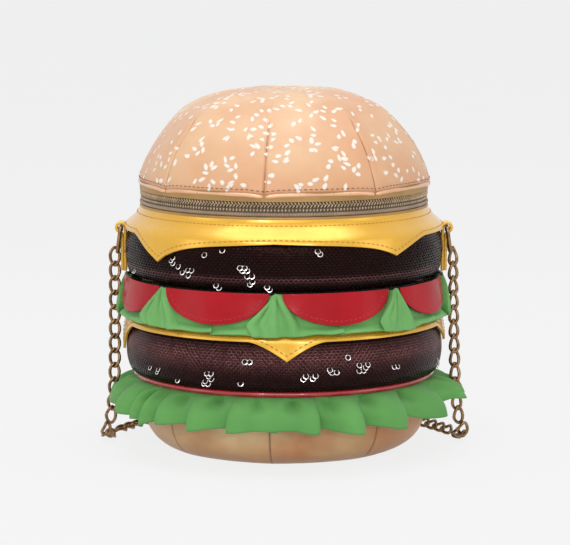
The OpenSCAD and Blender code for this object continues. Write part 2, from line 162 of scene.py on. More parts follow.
def addRoom():
    world = bpy.data.worlds.new("studio")
    scene.world = world
    world.use_nodes = True
    tree = world.node_tree
    tree.nodes.clear()
    out = addNode(tree, "ShaderNodeOutputWorld")
    shown = addNode(tree, "ShaderNodeBackground", Color=(light["backdrop"],) * 3 + (1,))
    room = addNode(tree, "ShaderNodeBackground", Color=(*light["roomTint"], 1), Strength=light["room"])
    mix = addNode(tree, "ShaderNodeMixShader")
    tree.links.new(cameraOrGloss(tree), mix.inputs[0])
    tree.links.new(room.outputs[0], mix.inputs[1])
    tree.links.new(shown.outputs[0], mix.inputs[2])
    tree.links.new(mix.outputs[0], out.inputs[0])


addCamera()
addFloor()
addRoom()
addLamp("top_box", light["topPlace"], light["topSize"], light["topPower"])
addLamp("front_box", light["frontPlace"], light["frontSize"], light["frontPower"])
for title, side in (("left_box", -1), ("right_box", 1)):
    across, back, up = light["sidePlace"]
    addLamp(title, (side * across, back, up), light["sideSize"], light["sidePower"])
for title, place in light["sparks"].items():
    addLamp(title, place, (light["sparkSize"],) * 2, light["sparkPower"])
scene.view_settings.view_transform = "Standard"
print("camera, lamps and floor placed")


# Sizes read from the frame, in millimetres


def lowOf(node):
    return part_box(node)[0] / mm


def highOf(node):
    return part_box(node)[1] / mm


bag = {
    "bunR": highOf("bottom_bun").x,
    "bunTop": highOf("bottom_bun").z,
    "lowerPatty": (lowOf("lower_patty").z, highOf("lower_patty").z),
    "upperPatty": (lowOf("upper_patty").z, highOf("upper_patty").z),
    "hemLow": lowOf("bun_hem").z,
    "domeLow": lowOf("top_bun").z,
    "domeHigh": highOf("top_bun").z,
    "domeR": highOf("top_bun").x,
}


# Shared modelling helpers. Azimuths are in degrees from the front, towards +X.

layerR = 85.0  # a usual radius of the layers, for slow unevenness and for flat patterns


def spot(az, r, z):
    a = math.radians(az)
    return Vector((r * math.sin(a), -r * math.cos(a), z))


def azOf(place):
    return math.degrees(math.atan2(place.x, -place.y))


def smoothStep(x, low=0.0, high=1.0):
    t = min(1.0, max(0.0, (x - low) / (high - low)))
    return t * t * (3 - 2 * t)


def bell(x, width):
    return math.exp(-((x / width) ** 2))


def turnFrom(az, centre, period=360.0):  # signed angle to the nearest repeat of centre
    return (az - centre + period / 2) % period - period / 2


def wobble(az, z, size, seed=0.0):  # smooth unevenness, about -1 to 1
    a = math.radians(az)
    place = Vector((math.sin(a) * layerR, -math.cos(a) * layerR, z))
    return noise.noise(place / size + Vector((seed, 0, 0)))


def ringSheet(columns, rows, shape, start=-180.0, sweep=360.0, uvRadius=layerR, uvHeight=30.0, seam=None):
    # a column of points is spun about the bag's axis, then shape(az, s) puts each point in place;
    # s runs from 0 at the first row to 1 at the last, and seam(az, s) is 1 on a sewn line
    bm = bmesh.new()
    layer = bm.verts.layers.float.new("seam") if seam else None
    whole = sweep >= 360
    line = [bm.verts.new(spot(start, 1, row)) for row in range(rows + 1)]
    edges = [bm.edges.new(pair) for pair in zip(line, line[1:])]
    bmesh.ops.spin(bm, geom=line + edges, cent=(0, 0, 0), axis=(0, 0, 1),
                   angle=math.radians(sweep), steps=columns, use_merge=whole)
    uv = bm.loops.layers.uv.new("UVMap")
    place = {}
    for v in bm.verts:
        az = start + (azOf(v.co) - start + 0.01) % 360 - 0.01
        place[v] = (az, round(v.co.z) / rows)
    for face in bm.faces:
        first = max(place[loop.vert][0] for loop in face.loops)
        for loop in face.loops:
            az, s = place[loop.vert]
            if first - az > 180:
                az += 360
            loop[uv].uv = (math.radians(az) * uvRadius * mm, s * uvHeight * mm)
    if seam:
        for v, (az, s) in place.items():
            v[layer] = seam(az, s)
    for v, (az, s) in place.items():
        v.co = shape(az, s)
    bmesh.ops.recalc_face_normals(bm, faces=bm.faces)
    outward = sum(face.normal.dot(spot(azOf(face.calc_center_median()), 1, 0.3)) * face.calc_area()
                  for face in bm.faces)
    if outward < 0:
        bmesh.ops.reverse_faces(bm, faces=bm.faces)
    return bm


def alongLine(points):  # a function from a share of a line's length to its point
    steps = [0.0]
    for a, b in zip(points, points[1:]):
        steps.append(steps[-1] + (Vector(b) - Vector(a)).length)
    total = steps[-1]

    def at(share):
        want = min(1.0, max(0.0, share)) * total
        i = 0
        while i < len(points) - 2 and steps[i + 1] < want:
            i += 1
        t = (want - steps[i]) / (steps[i + 1] - steps[i])
        return Vector(points[i]).lerp(Vector(points[i + 1]), t)

    return at, total


def makePiece(name, bm, mats, body, stands=(), flip=False):
    bmesh.ops.scale(bm, vec=(mm, mm, mm), verts=bm.verts)
    if flip:
        bmesh.ops.reverse_faces(bm, faces=bm.faces)
    for face in bm.faces:
        face.smooth = True
    mesh = bpy.data.meshes.new(name)
    bm.to_mesh(mesh)
    bm.free()
    piece = bpy.data.objects.new(name, mesh)
    scene.collection.objects.link(piece)
    for mat in mats:
        mesh.materials.append(mat)
    if body:
        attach(piece, body)
    if stands:
        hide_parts(*stands)
    return piece


def thicken(piece, thickness, offset=-1.0, edge=0.0):
    shell = piece.modifiers.new("thickness", "SOLIDIFY")
    shell.thickness = thickness * mm
    shell.offset = offset
    if edge:
        bevel = piece.modifiers.new("soft_edge", "BEVEL")
        bevel.width = edge * mm
        bevel.segments = 2
        bevel.limit_method = "ANGLE"
        bevel.angle_limit = math.radians(50)
    return piece


def copies(source, places):
    # one small mesh, doubled until there is one at every place, and then moved there point by point
    bm = bmesh.new()
    bm.from_mesh(source)
    counts = [len(bm.verts), len(bm.edges), len(bm.faces)]
    have = 1
    while have < len(places):
        more = min(have, len(places) - have)
        geom = []
        for found, each in zip((bm.verts, bm.edges, bm.faces), counts):
            geom += found[:][:more * each]
        bmesh.ops.duplicate(bm, geom=geom)
        have += more
    verts = bm.verts[:]
    for k, matrix in enumerate(places):
        for v in verts[k * counts[0]:(k + 1) * counts[0]]:
            v.co = matrix @ v.co
    bpy.data.meshes.remove(source)
    return bm


def sourceMesh(bm):
    mesh = bpy.data.meshes.new("source")
    bmesh.ops.recalc_face_normals(bm, faces=bm.faces)
    bm.to_mesh(mesh)
    bm.free()
    return mesh


def bead(segments=6, rings=4):
    bm = bmesh.new()
    bmesh.ops.create_uvsphere(bm, u_segments=segments, v_segments=rings, radius=1)
    return sourceMesh(bm)


def beadTurn(place, along, outward, size):
    # size is the bead's half length, half width and half height
    x = along.normalized()
    z = (outward - x * outward.dot(x)).normalized()
    turn = Matrix((x, z.cross(x), z)).transposed().to_4x4()
    return Matrix.Translation(place) @ turn @ Matrix.Diagonal((*size, 1))


def stitchRow(point, start, end, pitch, size):
    # stitches about pitch apart, where point(t) gives a place and its outward direction
    fine = 600
    track = [point(start + (end - start) * i / fine) for i in range(fine + 1)]
    length = sum((b[0] - a[0]).length for a, b in zip(track, track[1:]))
    count = max(2, round(length / pitch))
    walked, nextAt, places = 0.0, 0.5 * length / count, []
    for (a, outA), (b, outB) in zip(track, track[1:]):
        step = (b - a).length
        while step > 0 and walked + step >= nextAt:
            t = (nextAt - walked) / step
            places.append(beadTurn(a.lerp(b, t), b - a, outA, size))
            nextAt += length / count
        walked += step
    return places


# Materials


def startMaterial(name, look):
    mat = bpy.data.materials.new(name)
    mat.use_nodes = True
    tree = mat.node_tree
    tree.nodes.clear()
    shader = addNode(tree, "ShaderNodeBsdfPrincipled")
    output = addNode(tree, "ShaderNodeOutputMaterial")
    tree.links.new(shader.outputs["BSDF"], output.inputs["Surface"])
    for key, value in look["shader"].items():
        shader.inputs[key].default_value = value
    return mat, tree, shader


def objectPlace(tree):
    return addNode(tree, "ShaderNodeTexCoord").outputs["Object"]


def surfacePlace(tree):
    return addNode(tree, "ShaderNodeUVMap", {"uv_map": "UVMap"}).outputs["UV"]


def noiseAt(tree, place, size, detail=3.0, stretch=None):
    if stretch:
        mapping = addNode(tree, "ShaderNodeMapping", Scale=stretch)
        tree.links.new(place, mapping.inputs["Vector"])
        place = mapping.outputs["Vector"]
    made = addNode(tree, "ShaderNodeTexNoise", Scale=1 / (size * mm), Detail=detail)
    tree.links.new(place, made.inputs["Vector"])
    return made.outputs["Fac"]


def ranged(tree, value, low, high, toLow=0.0, toHigh=1.0):
    made = addNode(tree, "ShaderNodeMapRange")
    for key, number in (("From Min", low), ("From Max", high), ("To Min", toLow), ("To Max", toHigh)):
        made.inputs[key].default_value = number
    tree.links.new(value, made.inputs["Value"])
    return made.outputs["Result"]


def combine(tree, operation, a, b):
    made = addNode(tree, "ShaderNodeMath", {"operation": operation})
    for i, value in enumerate((a, b)):
        if isinstance(value, (int, float)):
            made.inputs[i].default_value = value
        else:
            tree.links.new(value, made.inputs[i])
    return made.outputs[0]


def tinted(tree, share, a, b):
    made = addNode(tree, "ShaderNodeMix", {"data_type": "RGBA"})
    tree.links.new(share, made.inputs[0])
    for i, value in ((6, a), (7, b)):
        if isinstance(value, tuple):
            made.inputs[i].default_value = (*value, 1)
        else:
            tree.links.new(value, made.inputs[i])
    return made.outputs[2]


def bumped(tree, shader, height, depth, before=None):
    made = addNode(tree, "ShaderNodeBump", Strength=1.0, Distance=depth * mm)
    tree.links.new(height, made.inputs["Height"])
    if before:
        tree.links.new(before, made.inputs["Normal"])
    tree.links.new(made.outputs["Normal"], shader.inputs["Normal"])
    return made.outputs["Normal"]


def paintBase(tree, shader, colour):
    tree.links.new(colour, shader.inputs["Base Color"])


def paintRough(tree, shader, value):
    tree.links.new(value, shader.inputs["Roughness"])


def heightShare(tree, low, high):
    split = addNode(tree, "ShaderNodeSeparateXYZ")
    tree.links.new(objectPlace(tree), split.inputs[0])
    return ranged(tree, split.outputs["Z"], low * mm, high * mm)


def leatherMaterial(name, look):
    mat, tree, shader = startMaterial(name, look)
    place = objectPlace(tree)
    patch = ranged(tree, noiseAt(tree, place, look["patch"], 4), 0.35, 0.65)
    colour = tinted(tree, patch, look["light"], look["dark"])
    if "low" in look:  # a second colour towards the bottom
        share = heightShare(tree, *look["between"])
        mottle = combine(tree, "SUBTRACT", noiseAt(tree, place, look["patch"] * 0.6, 3), 0.5)
        share = combine(tree, "ADD", share, combine(tree, "MULTIPLY", mottle, 0.8))
        colour = tinted(tree, ranged(tree, share, 0, 1), look["low"], colour)
    if "sewn" in look:  # dirt and shadow held in the sewn lines
        line = addNode(tree, "ShaderNodeAttribute", {"attribute_name": "seam"})
        colour = tinted(tree, ranged(tree, line.outputs["Fac"], 0.25, 0.9), colour, look["sewn"])
    paintBase(tree, shader, colour)
    rub = noiseAt(tree, place, look["patch"] * 0.3, 5)
    paintRough(tree, shader, ranged(tree, rub, 0.3, 0.7, look["rough"] - 0.05, look["rough"] + 0.07))
    soft = bumped(tree, shader, noiseAt(tree, place, look["wrinkle"], 3), look["wrinkleDepth"])
    bumped(tree, shader, noiseAt(tree, place, look["grain"], 2), look["grainDepth"], soft)
    return mat


def clothMaterial(name, look):
    # a plain weave on the piece's own UV map, with soft blotches
    mat, tree, shader = startMaterial(name, look)
    place = objectPlace(tree)
    patch = ranged(tree, noiseAt(tree, place, look["patch"], 3), 0.3, 0.7)
    paintBase(tree, shader, tinted(tree, patch, look["light"], look["dark"]))
    paintRough(tree, shader, ranged(tree, noiseAt(tree, place, 3, 2), 0.3, 0.7, look["rough"] - 0.04,
                                    look["rough"] + 0.05))
    soft = bumped(tree, shader, noiseAt(tree, place, look["crinkle"], 4), look["crinkleDepth"])
    flat = surfacePlace(tree) if look.get("flat") else place
    weave = addNode(tree, "ShaderNodeTexChecker", Scale=1 / (look["thread"] * mm))
    tree.links.new(flat, weave.inputs["Vector"])
    bumped(tree, shader, weave.outputs["Fac"], look["threadDepth"], soft)
    return mat


def metalMaterial(name, look):
    mat, tree, shader = startMaterial(name, look)
    place = objectPlace(tree)
    worn = ranged(tree, noiseAt(tree, place, look["patch"], 5), 0.35, 0.65)
    paintBase(tree, shader, tinted(tree, worn, look["light"], look["dark"]))
    paintRough(tree, shader, ranged(tree, noiseAt(tree, place, 1.5, 3), 0.3, 0.7, look["rough"] - 0.06,
                                    look["rough"] + 0.1))
    bumped(tree, shader, noiseAt(tree, place, look["grain"], 2), look["grainDepth"])
    return mat


def ribbedMaterial(name, look):
    # woven tape: fine ribs across it, counted along its UV map, with painted shade darkening the grooves
    # between them
    mat, tree, shader = startMaterial(name, look)
    wave = addNode(tree, "ShaderNodeTexWave", {"bands_direction": "X"}, Scale=0.314 / (look["rib"] * mm),
                   Distortion=0.6, Detail=1.0)
    tree.links.new(surfacePlace(tree), wave.inputs["Vector"])
    patch = ranged(tree, noiseAt(tree, objectPlace(tree), look["patch"], 3), 0.3, 0.7)
    base = tinted(tree, patch, look["light"], look["dark"])
    paintBase(tree, shader, tinted(tree, ranged(tree, wave.outputs["Fac"], 0, 1, 0.5, 0), base,
                                   look["groove"]))
    bumped(tree, shader, wave.outputs["Fac"], look["ribDepth"])
    return mat


finishes = {
    "bunSkin": {"light": (0.80, 0.57, 0.345), "dark": (0.70, 0.385, 0.215), "low": (0.68, 0.345, 0.175),
                "between": (140, 200), "sewn": (0.26, 0.12, 0.06), "patch": 34, "rough": 0.42,
                "wrinkle": 16, "wrinkleDepth": 0.5, "grain": 0.7, "grainDepth": 0.03,
                "shader": {"Specular IOR Level": 0.45, "Sheen Weight": 0.1}},
    "bunBase": {"light": (0.78, 0.56, 0.30), "dark": (0.56, 0.245, 0.105), "low": (0.52, 0.25, 0.11),
                "between": (-4, 22), "sewn": (0.27, 0.13, 0.06), "patch": 42, "rough": 0.44,
                "wrinkle": 14, "wrinkleDepth": 0.6, "grain": 0.7, "grainDepth": 0.03,
                "shader": {"Specular IOR Level": 0.4}},
    "hemSkin": {"light": (0.85, 0.50, 0.30), "dark": (0.76, 0.42, 0.24), "patch": 20, "rough": 0.3,
                "wrinkle": 6, "wrinkleDepth": 0.15, "grain": 0.6, "grainDepth": 0.02,
                "shader": {"Metallic": 0.25, "Coat Weight": 0.3}},
    "goldSkin": {"light": (0.46, 0.27, 0.09), "dark": (0.34, 0.19, 0.06), "patch": 24, "rough": 0.42,
                 "wrinkle": 5, "wrinkleDepth": 0.1, "grain": 0.5, "grainDepth": 0.02,
                 "shader": {"Metallic": 0.3}},
    "cheeseSkin": {"light": (0.80, 0.445, 0.035), "dark": (0.74, 0.39, 0.025), "patch": 40,
                   "rough": 0.3, "wrinkle": 22, "wrinkleDepth": 0.35, "grain": 0.45,
                   "grainDepth": 0.018,
                   "shader": {"Metallic": 0.42, "Specular IOR Level": 0.2, "Coat Weight": 0.7,
                              "Coat Roughness": 0.2, "Coat IOR": 1.5}},
    "tomatoSkin": {"light": (0.46, 0.010, 0.017), "dark": (0.39, 0.008, 0.014), "patch": 26,
                   "rough": 0.3, "wrinkle": 24, "wrinkleDepth": 0.25, "grain": 0.8, "grainDepth": 0.01,
                   "shader": {"Coat Weight": 0.1, "Coat Roughness": 0.07, "Specular IOR Level": 0.1}},
    "pipingSkin": {"light": (0.46, 0.012, 0.02), "dark": (0.38, 0.01, 0.016), "patch": 20,
                   "rough": 0.25, "wrinkle": 8, "wrinkleDepth": 0.1, "grain": 0.7, "grainDepth": 0.01,
                   "shader": {"Coat Weight": 0.7, "Coat Roughness": 0.1}},
    "edgePaint": {"light": (0.10, 0.006, 0.008), "dark": (0.07, 0.005, 0.006), "patch": 8, "rough": 0.4,
                  "wrinkle": 6, "wrinkleDepth": 0.05, "grain": 0.6, "grainDepth": 0.01, "shader": {}},
    "lightLeaf": {"light": (0.19, 0.47, 0.14), "dark": (0.15, 0.40, 0.11), "patch": 30, "rough": 0.62,
                  "crinkle": 5, "crinkleDepth": 0.25, "thread": 0.35, "threadDepth": 0.03, "flat": True,
                  "shader": {"Sheen Weight": 0.15, "Sheen Roughness": 0.4, "Specular IOR Level": 0.25}},
    "darkLeaf": {"light": (0.135, 0.385, 0.095), "dark": (0.105, 0.31, 0.075), "patch": 30,
                 "rough": 0.62, "crinkle": 6, "crinkleDepth": 0.22, "thread": 0.35, "threadDepth": 0.03,
                 "flat": True,
                 "shader": {"Sheen Weight": 0.15, "Sheen Roughness": 0.4, "Specular IOR Level": 0.25}},
    "liningCloth": {"light": (0.36, 0.26, 0.14), "dark": (0.30, 0.21, 0.11), "patch": 25, "rough": 0.7,
                    "crinkle": 12, "crinkleDepth": 0.5, "thread": 0.5, "threadDepth": 0.05,
                    "shader": {"Sheen Weight": 0.2}},
    "foam": {"light": (0.80, 0.74, 0.62), "dark": (0.74, 0.67, 0.54), "patch": 12, "rough": 0.9,
             "crinkle": 2, "crinkleDepth": 0.4, "thread": 0.9, "threadDepth": 0.1, "shader": {}},
    "board": {"light": (0.14, 0.13, 0.12), "dark": (0.10, 0.09, 0.085), "patch": 15, "rough": 0.8,
              "crinkle": 3, "crinkleDepth": 0.1, "thread": 0.8, "threadDepth": 0.05, "shader": {}},
    "pattyCloth": {"light": (0.012, 0.006, 0.006), "dark": (0.008, 0.004, 0.004), "patch": 10,
                   "rough": 0.7, "crinkle": 3, "crinkleDepth": 0.2, "thread": 0.5, "threadDepth": 0.08,
                   "shader": {"Sheen Weight": 0.1}},
    "brass": {"light": (0.36, 0.22, 0.11), "dark": (0.17, 0.095, 0.045), "patch": 3, "rough": 0.36,
              "grain": 0.5, "grainDepth": 0.02, "shader": {"Metallic": 0.92}},
    "coil": {"light": (0.54, 0.40, 0.25), "dark": (0.38, 0.27, 0.165), "patch": 6, "rough": 0.3,
             "grain": 0.4, "grainDepth": 0.01, "shader": {"Metallic": 0.3, "Specular IOR Level": 0.5}},
    # tape and ridge are one woven tape: the tape's darker colours are painted shade, for where it lies
    # under the hem and behind the teeth
    "tape": {"light": (0.17, 0.12, 0.07), "dark": (0.13, 0.09, 0.052), "groove": (0.03, 0.02, 0.012),
             "patch": 12, "rib": 1.0, "ribDepth": 0.12,
             "shader": {"Roughness": 0.6, "Sheen Weight": 0.2}},
    "ridge": {"light": (0.42, 0.29, 0.18), "dark": (0.32, 0.22, 0.13), "groove": (0.12, 0.08, 0.05),
              "patch": 12, "rib": 1.4, "ribDepth": 0.25,
              "shader": {"Roughness": 0.45, "Sheen Weight": 0.2}},
    "thread": {"light": (0.60, 0.32, 0.04), "dark": (0.50, 0.26, 0.03), "patch": 4, "rough": 0.6,
               "crinkle": 0.6, "crinkleDepth": 0.04, "thread": 0.3, "threadDepth": 0.03, "shader": {}},
    "redThread": {"light": (0.56, 0.05, 0.06), "dark": (0.46, 0.035, 0.045), "patch": 4, "rough": 0.6,
                  "crinkle": 0.6, "crinkleDepth": 0.04, "thread": 0.3, "threadDepth": 0.03,
                  "shader": {}},
    "darkThread": {"light": (0.20, 0.07, 0.035), "dark": (0.14, 0.05, 0.025), "patch": 4, "rough": 0.7,
                   "crinkle": 0.6, "crinkleDepth": 0.04, "thread": 0.3, "threadDepth": 0.03,
                   "shader": {}},
}


# the film's pale rim colour is a painted reflection; the near-black middle is the film's own colour
sequinFilm = {"middle": (0.0045, 0.0012, 0.0012), "rim": (0.30, 0.115, 0.115), "cloud": 9,
              "shader": {"Roughness": 0.2, "Specular IOR Level": 0.1,
                         "Specular Tint": (1.0, 0.42, 0.4, 1)}}
# painted glint: near-white rims and dark middles for the loose sequins
looseGlint = {"middle": (0.02, 0.008, 0.008), "rim": (1.0, 0.93, 0.93),
              "shader": {"Roughness": 0.16, "Metallic": 1.0}}
seedInk = {"middle": (0.90, 0.79, 0.68), "edge": (0.62, 0.44, 0.35), "blot": 1.1,
           "shader": {"Roughness": 0.45, "Specular IOR Level": 0.4}}


def sequinMaterial(look):
    # dark glossy film with a paler rim, a painted reflection, which the shade attribute carries from one
    # sequin to the next
    mat, tree, shader = startMaterial("sequin_film", look)
    shade = addNode(tree, "ShaderNodeAttribute", {"attribute_name": "shade"})
    cloudy = ranged(tree, noiseAt(tree, objectPlace(tree), look["cloud"], 3), 0.3, 0.7, 0.75, 1.15)
    share = combine(tree, "MULTIPLY", shade.outputs["Fac"], cloudy)
    paintBase(tree, shader, tinted(tree, share, look["middle"], look["rim"]))
    return mat


def glintMaterial(look):
    # loose sequins of bright metal mirror the lamps, and their near-white rims and dark middles are a
    # painted glint
    mat, tree, shader = startMaterial("sequin_glint", look)
    shade = addNode(tree, "ShaderNodeAttribute", {"attribute_name": "shade"})
    share = ranged(tree, shade.outputs["Fac"], 0.3, 0.7)
    paintBase(tree, shader, tinted(tree, share, look["middle"], look["rim"]))
    return mat


def seedMaterial(look):
    # printed seeds: cream in the middle, with a faint grey edge
    mat, tree, shader = startMaterial("seed_print", look)
    length = addNode(tree, "ShaderNodeVectorMath", {"operation": "LENGTH"})
    tree.links.new(surfacePlace(tree), length.inputs[0])
    edge = ranged(tree, length.outputs["Value"], 0.55, 1.0)
    blot = noiseAt(tree, objectPlace(tree), look["blot"], 2)
    edge = combine(tree, "MULTIPLY", edge, ranged(tree, blot, 0.35, 0.65, 0.2, 1.0))
    paintBase(tree, shader, tinted(tree, edge, look["middle"], look["edge"]))
    return mat


skins = {}
for title, look in finishes.items():
    if "thread" in look:
        skins[title] = clothMaterial(title, look)
    elif "rib" in look:
        skins[title] = ribbedMaterial(title, look)
    elif "wrinkle" in look:
        skins[title] = leatherMaterial(title, look)
    else:
        skins[title] = metalMaterial(title, look)
skins["sequinGlint"] = glintMaterial(looseGlint)
skins["sequin"] = sequinMaterial(sequinFilm)
skins["seed"] = seedMaterial(seedInk)
print("materials made")


# Chain strap: one real length of curb chain, from ring to ring

chain = {
    "pitch": 8.17,
    "width": 7.2,
    "length": 11.9,
    "wire": 1.9,
    "twist": 38,  # degrees from the middle of a link to its end
    "sway": 8,  # degrees that the links roll to and fro along the chain
    "heapAt": 7.0,  # height at which the chain meets the ground and its links bunch
    "heapSize": 6.0,
    "heapOut": 3.0,
    "heapRoll": 70,
    "woundAt": (0, 132),
    "woundStart": 28.8,
    "woundGrowth": 15.2,  # per turn
    "woundTurn": 340,
}

leftRoute = [
    (-93.8, 0, 106), (-93.9, 0, 94), (-94.0, 0, 78), (-94.2, 0, 60), (-94.5, 0, 42), (-95.2, 0, 28),
    (-96.4, 1, 18), (-97.4, 4, 10), (-97.2, 11, 5), (-95, 22, 3.7), (-88, 36, 3.7), (-79, 50, 3.7),
    (-70, 64, 3.7), (-64, 80, 3.7), (-61, 98, 3.7), (-60, 116, 3.7), (-58, 134, 3.7),
    (-52, 150, 3.7), (-42, 162, 3.7), (-34, 169, 3.7),
]
rightRoute = [
    (93.8, 0, 106), (94.0, 0, 94), (94.3, 0, 78), (94.8, 0, 60), (95.4, 0, 42), (96.2, 0, 28),
    (97.2, 1, 18), (98, 4, 10), (97.4, 11, 5), (95, 22, 3.7), (87, 37, 3.7), (78, 52, 3.7),
    (67, 67, 3.7), (55, 80, 3.7), (44, 88, 3.7), (34, 93, 3.7),
]


def woundRoute():
    centre = Vector((*chain["woundAt"], leftRoute[-1][2]))
    first = 120
    strand = []
    for i in range(35):
        swept = chain["woundTurn"] * i / 34
        a = math.radians(first + swept)
        reach = chain["woundStart"] + chain["woundGrowth"] * swept / 360
        strand.append(Vector((reach * math.cos(a), reach * math.sin(a), 0)))
    half = strand[0] / 2
    bend = [half + Matrix.Rotation(-math.pi * i / 12, 3, "Z") @ half for i in range(1, 13)]
    back = [-p for p in reversed(bend[:-1])]
    inward = list(reversed(strand))
    outward = [-p for p in strand]
    return [centre + p for p in inward + bend + back + outward]


def smoothPath(points, step):
    # a Catmull-Rom curve through the points, walked in equal steps
    fine = []
    for i in range(len(points) - 1):
        a, b = points[max(i - 1, 0)], points[i]
        c, d = points[i + 1], points[min(i + 2, len(points) - 1)]
        for k in range(16):
            t = k / 16
            fine.append(0.5 * (2 * b + (c - a) * t + (2 * a - 5 * b + 4 * c - d) * t * t
                               + (3 * b - a - 3 * c + d) * t ** 3))
    fine.append(points[-1])
    length = sum((q - p).length for p, q in zip(fine, fine[1:]))
    count = round(length / step)
    walked, even = 0.0, []
    for p, q in zip(fine, fine[1:]):
        gap = (q - p).length
        while gap > 0 and len(even) <= count and walked + gap >= len(even) * length / count - 1e-6:
            even.append(p.lerp(q, max(0.0, (len(even) * length / count - walked) / gap)))
        walked += gap
    if len(even) <= count:
        even.append(fine[-1])
    return even, length


def chainLink():
    wire, halfWidth = chain["wire"] / 2, (chain["width"] - chain["wire"]) / 2
    halfLength = (chain["length"] - chain["wire"]) / 2
    bm = bmesh.new()
    side = Matrix.Translation((halfWidth, 0, 0)) @ Matrix.Rotation(math.pi / 2, 4, "X")
    made = bmesh.ops.create_circle(bm, segments=7, radius=wire, matrix=side)
    edges = list({edge for v in made["verts"] for edge in v.link_edges})
    bmesh.ops.spin(bm, geom=made["verts"] + edges, cent=(0, 0, 0), axis=(0, 0, 1),
                   angle=math.tau, steps=18, use_merge=True)
    for v in bm.verts:
        v.co.x += (halfLength - halfWidth) * math.cos(math.atan2(v.co.y, v.co.x))
        v.co.yz = turned(v.co.yz, math.radians(chain["twist"]) * v.co.x / halfLength)
    return sourceMesh(bm)


def turned(pair, angle):
    return (pair[0] * math.cos(angle) - pair[1] * math.sin(angle),
            pair[0] * math.sin(angle) + pair[1] * math.cos(angle))


def addChain():
    points = [Vector(p) for p in leftRoute] + woundRoute() + [Vector(p) for p in reversed(rightRoute)]
    path, length = smoothPath(points, chain["pitch"])
    across = Vector((1, 0, 0))
    draws = random.Random(11)
    places = []
    for i, place in enumerate(path):
        along = (path[min(i + 1, len(path) - 1)] - path[max(i - 1, 0)]).normalized()
        across = (across - along * across.dot(along)).normalized()
        sway = chain["sway"] * math.sin(i * 0.45) + draws.uniform(-4, 4)
        if place.y < 20:
            heap = bell(place.z - chain["heapAt"], chain["heapSize"])
            sway += heap * draws.uniform(-chain["heapRoll"], chain["heapRoll"])
            place = place + heap * chain["heapOut"] * Vector((math.copysign(0.9, place.x), -0.3, -0.5))
        side = Matrix.Rotation(math.radians(sway), 3, along) @ across
        frameOf = Matrix((along, side, along.cross(side))).transposed().to_4x4()
        places.append(Matrix.Translation(place) @ frameOf)
    strap = makePiece("chain_strap", copies(chainLink(), places), [skins["brass"]], "bag_body",
                      ["chain_strap_left", "chain_strap_right", "chain_strap_wound"])
    line, _ = smoothPath(points, 4)
    print("chain strap:", len(path), "links,", round(length), "mm")


addChain()


# Top bun: eight gores over foam, with a rolled hem and a seed print

topBun = {
    "turn": -7.5,  # azimuth of the front seam
    "gores": 8,
    "seamReach": 1.5,  # how far a seam stands outside the solid's radius at the hem
    "flatLow": 0.36,  # 1 is a true octagon, 0 is round
    "flatMid": 0.72,
    "valley": 0.9,
    "valleyWidth": 6.0,
    "crease": 1.3,
    "creaseWidth": 0.8,
    "seamTop": 187,
    "dip": 0.9,  # drop of the hem at a seam
    "dipWidth": 6.0,
    "sag": 0.55,  # height of the leather's slow unevenness
    "skin": 1.6,
    "foam": 3.2,
    "seeds": 540,
    "seedSize": (2.1, 1.2),
}


def domeLine():
    points = []
    for i in range(81):
        a = math.radians(90 * i / 80)
        points.append((bag["domeR"] * max(0.0, math.cos(a)) ** 0.57,
                       bag["domeLow"] + 1 + (bag["domeHigh"] - bag["domeLow"] - 1) * math.sin(a) ** 1.62,
                       0))
    points[0] = (bag["domeR"], bag["domeLow"], 0)
    return alongLine(points)


domeAt, domeLength = domeLine()


def bunPlace(az, s, inside=0.0):
    # s runs from 0 at the hem to 1 at the crown
    on = domeAt(s)
    gore = 360 / topBun["gores"]
    off = turnFrom(az, topBun["turn"], gore)
    middle = gore / 2 - abs(off)
    octagon = math.cos(math.radians(gore / 2)) / math.cos(math.radians(middle))
    flat = topBun["flatLow"] + (topBun["flatMid"] - topBun["flatLow"]) * smoothStep(s, 0, 0.35)
    flat *= 1 - smoothStep(s, 0.45, 0.85)
    reach = on.x * (1 + topBun["seamReach"] / bag["domeR"] * (1 - smoothStep(s, 0.2, 0.9)))
    reach *= 1 - flat * (1 - octagon)
    away = math.radians(abs(off)) * on.x
    sewn = 1 - smoothStep(on.y, topBun["seamTop"] - 9, topBun["seamTop"] + 3)
    sunk = sewn * (topBun["valley"] * bell(away, topBun["valleyWidth"])
                   + topBun["crease"] * bell(away, topBun["creaseWidth"]))
    uneven = topBun["sag"] * wobble(az, on.y, 26, 3) * smoothStep(s, 0.02, 0.15)
    a = math.radians(90 * s)
    outX, outZ = math.cos(a) ** 0.5 if s < 1 else 0, math.sin(a)
    size = math.hypot(outX, outZ)
    push = (uneven - sunk - inside) / size
    z = on.y + push * outZ - topBun["dip"] * bell(away, topBun["dipWidth"]) * (1 - smoothStep(s, 0, 0.2))
    return spot(az, max(0.0, reach + push * outX), z)


def bunSeam(az, s):
    on = domeAt(s)
    away = math.radians(abs(turnFrom(az, topBun["turn"], 360 / topBun["gores"]))) * on.x
    # the darker colour along the seams is partly dirt and partly painted shade, and varies along them
    worn = 0.75 + 0.35 * wobble(az, on.y, 9, 61)
    return worn * bell(away, 0.5) * (1 - smoothStep(on.y, topBun["seamTop"] - 3, topBun["seamTop"] + 1))


def towardsSeams(az, pull):  # crowds columns towards the seams
    gore = 360 / topBun["gores"]
    t = ((az - topBun["turn"]) % gore) / gore
    return az + gore * (-pull * math.sin(math.tau * t) / math.tau)


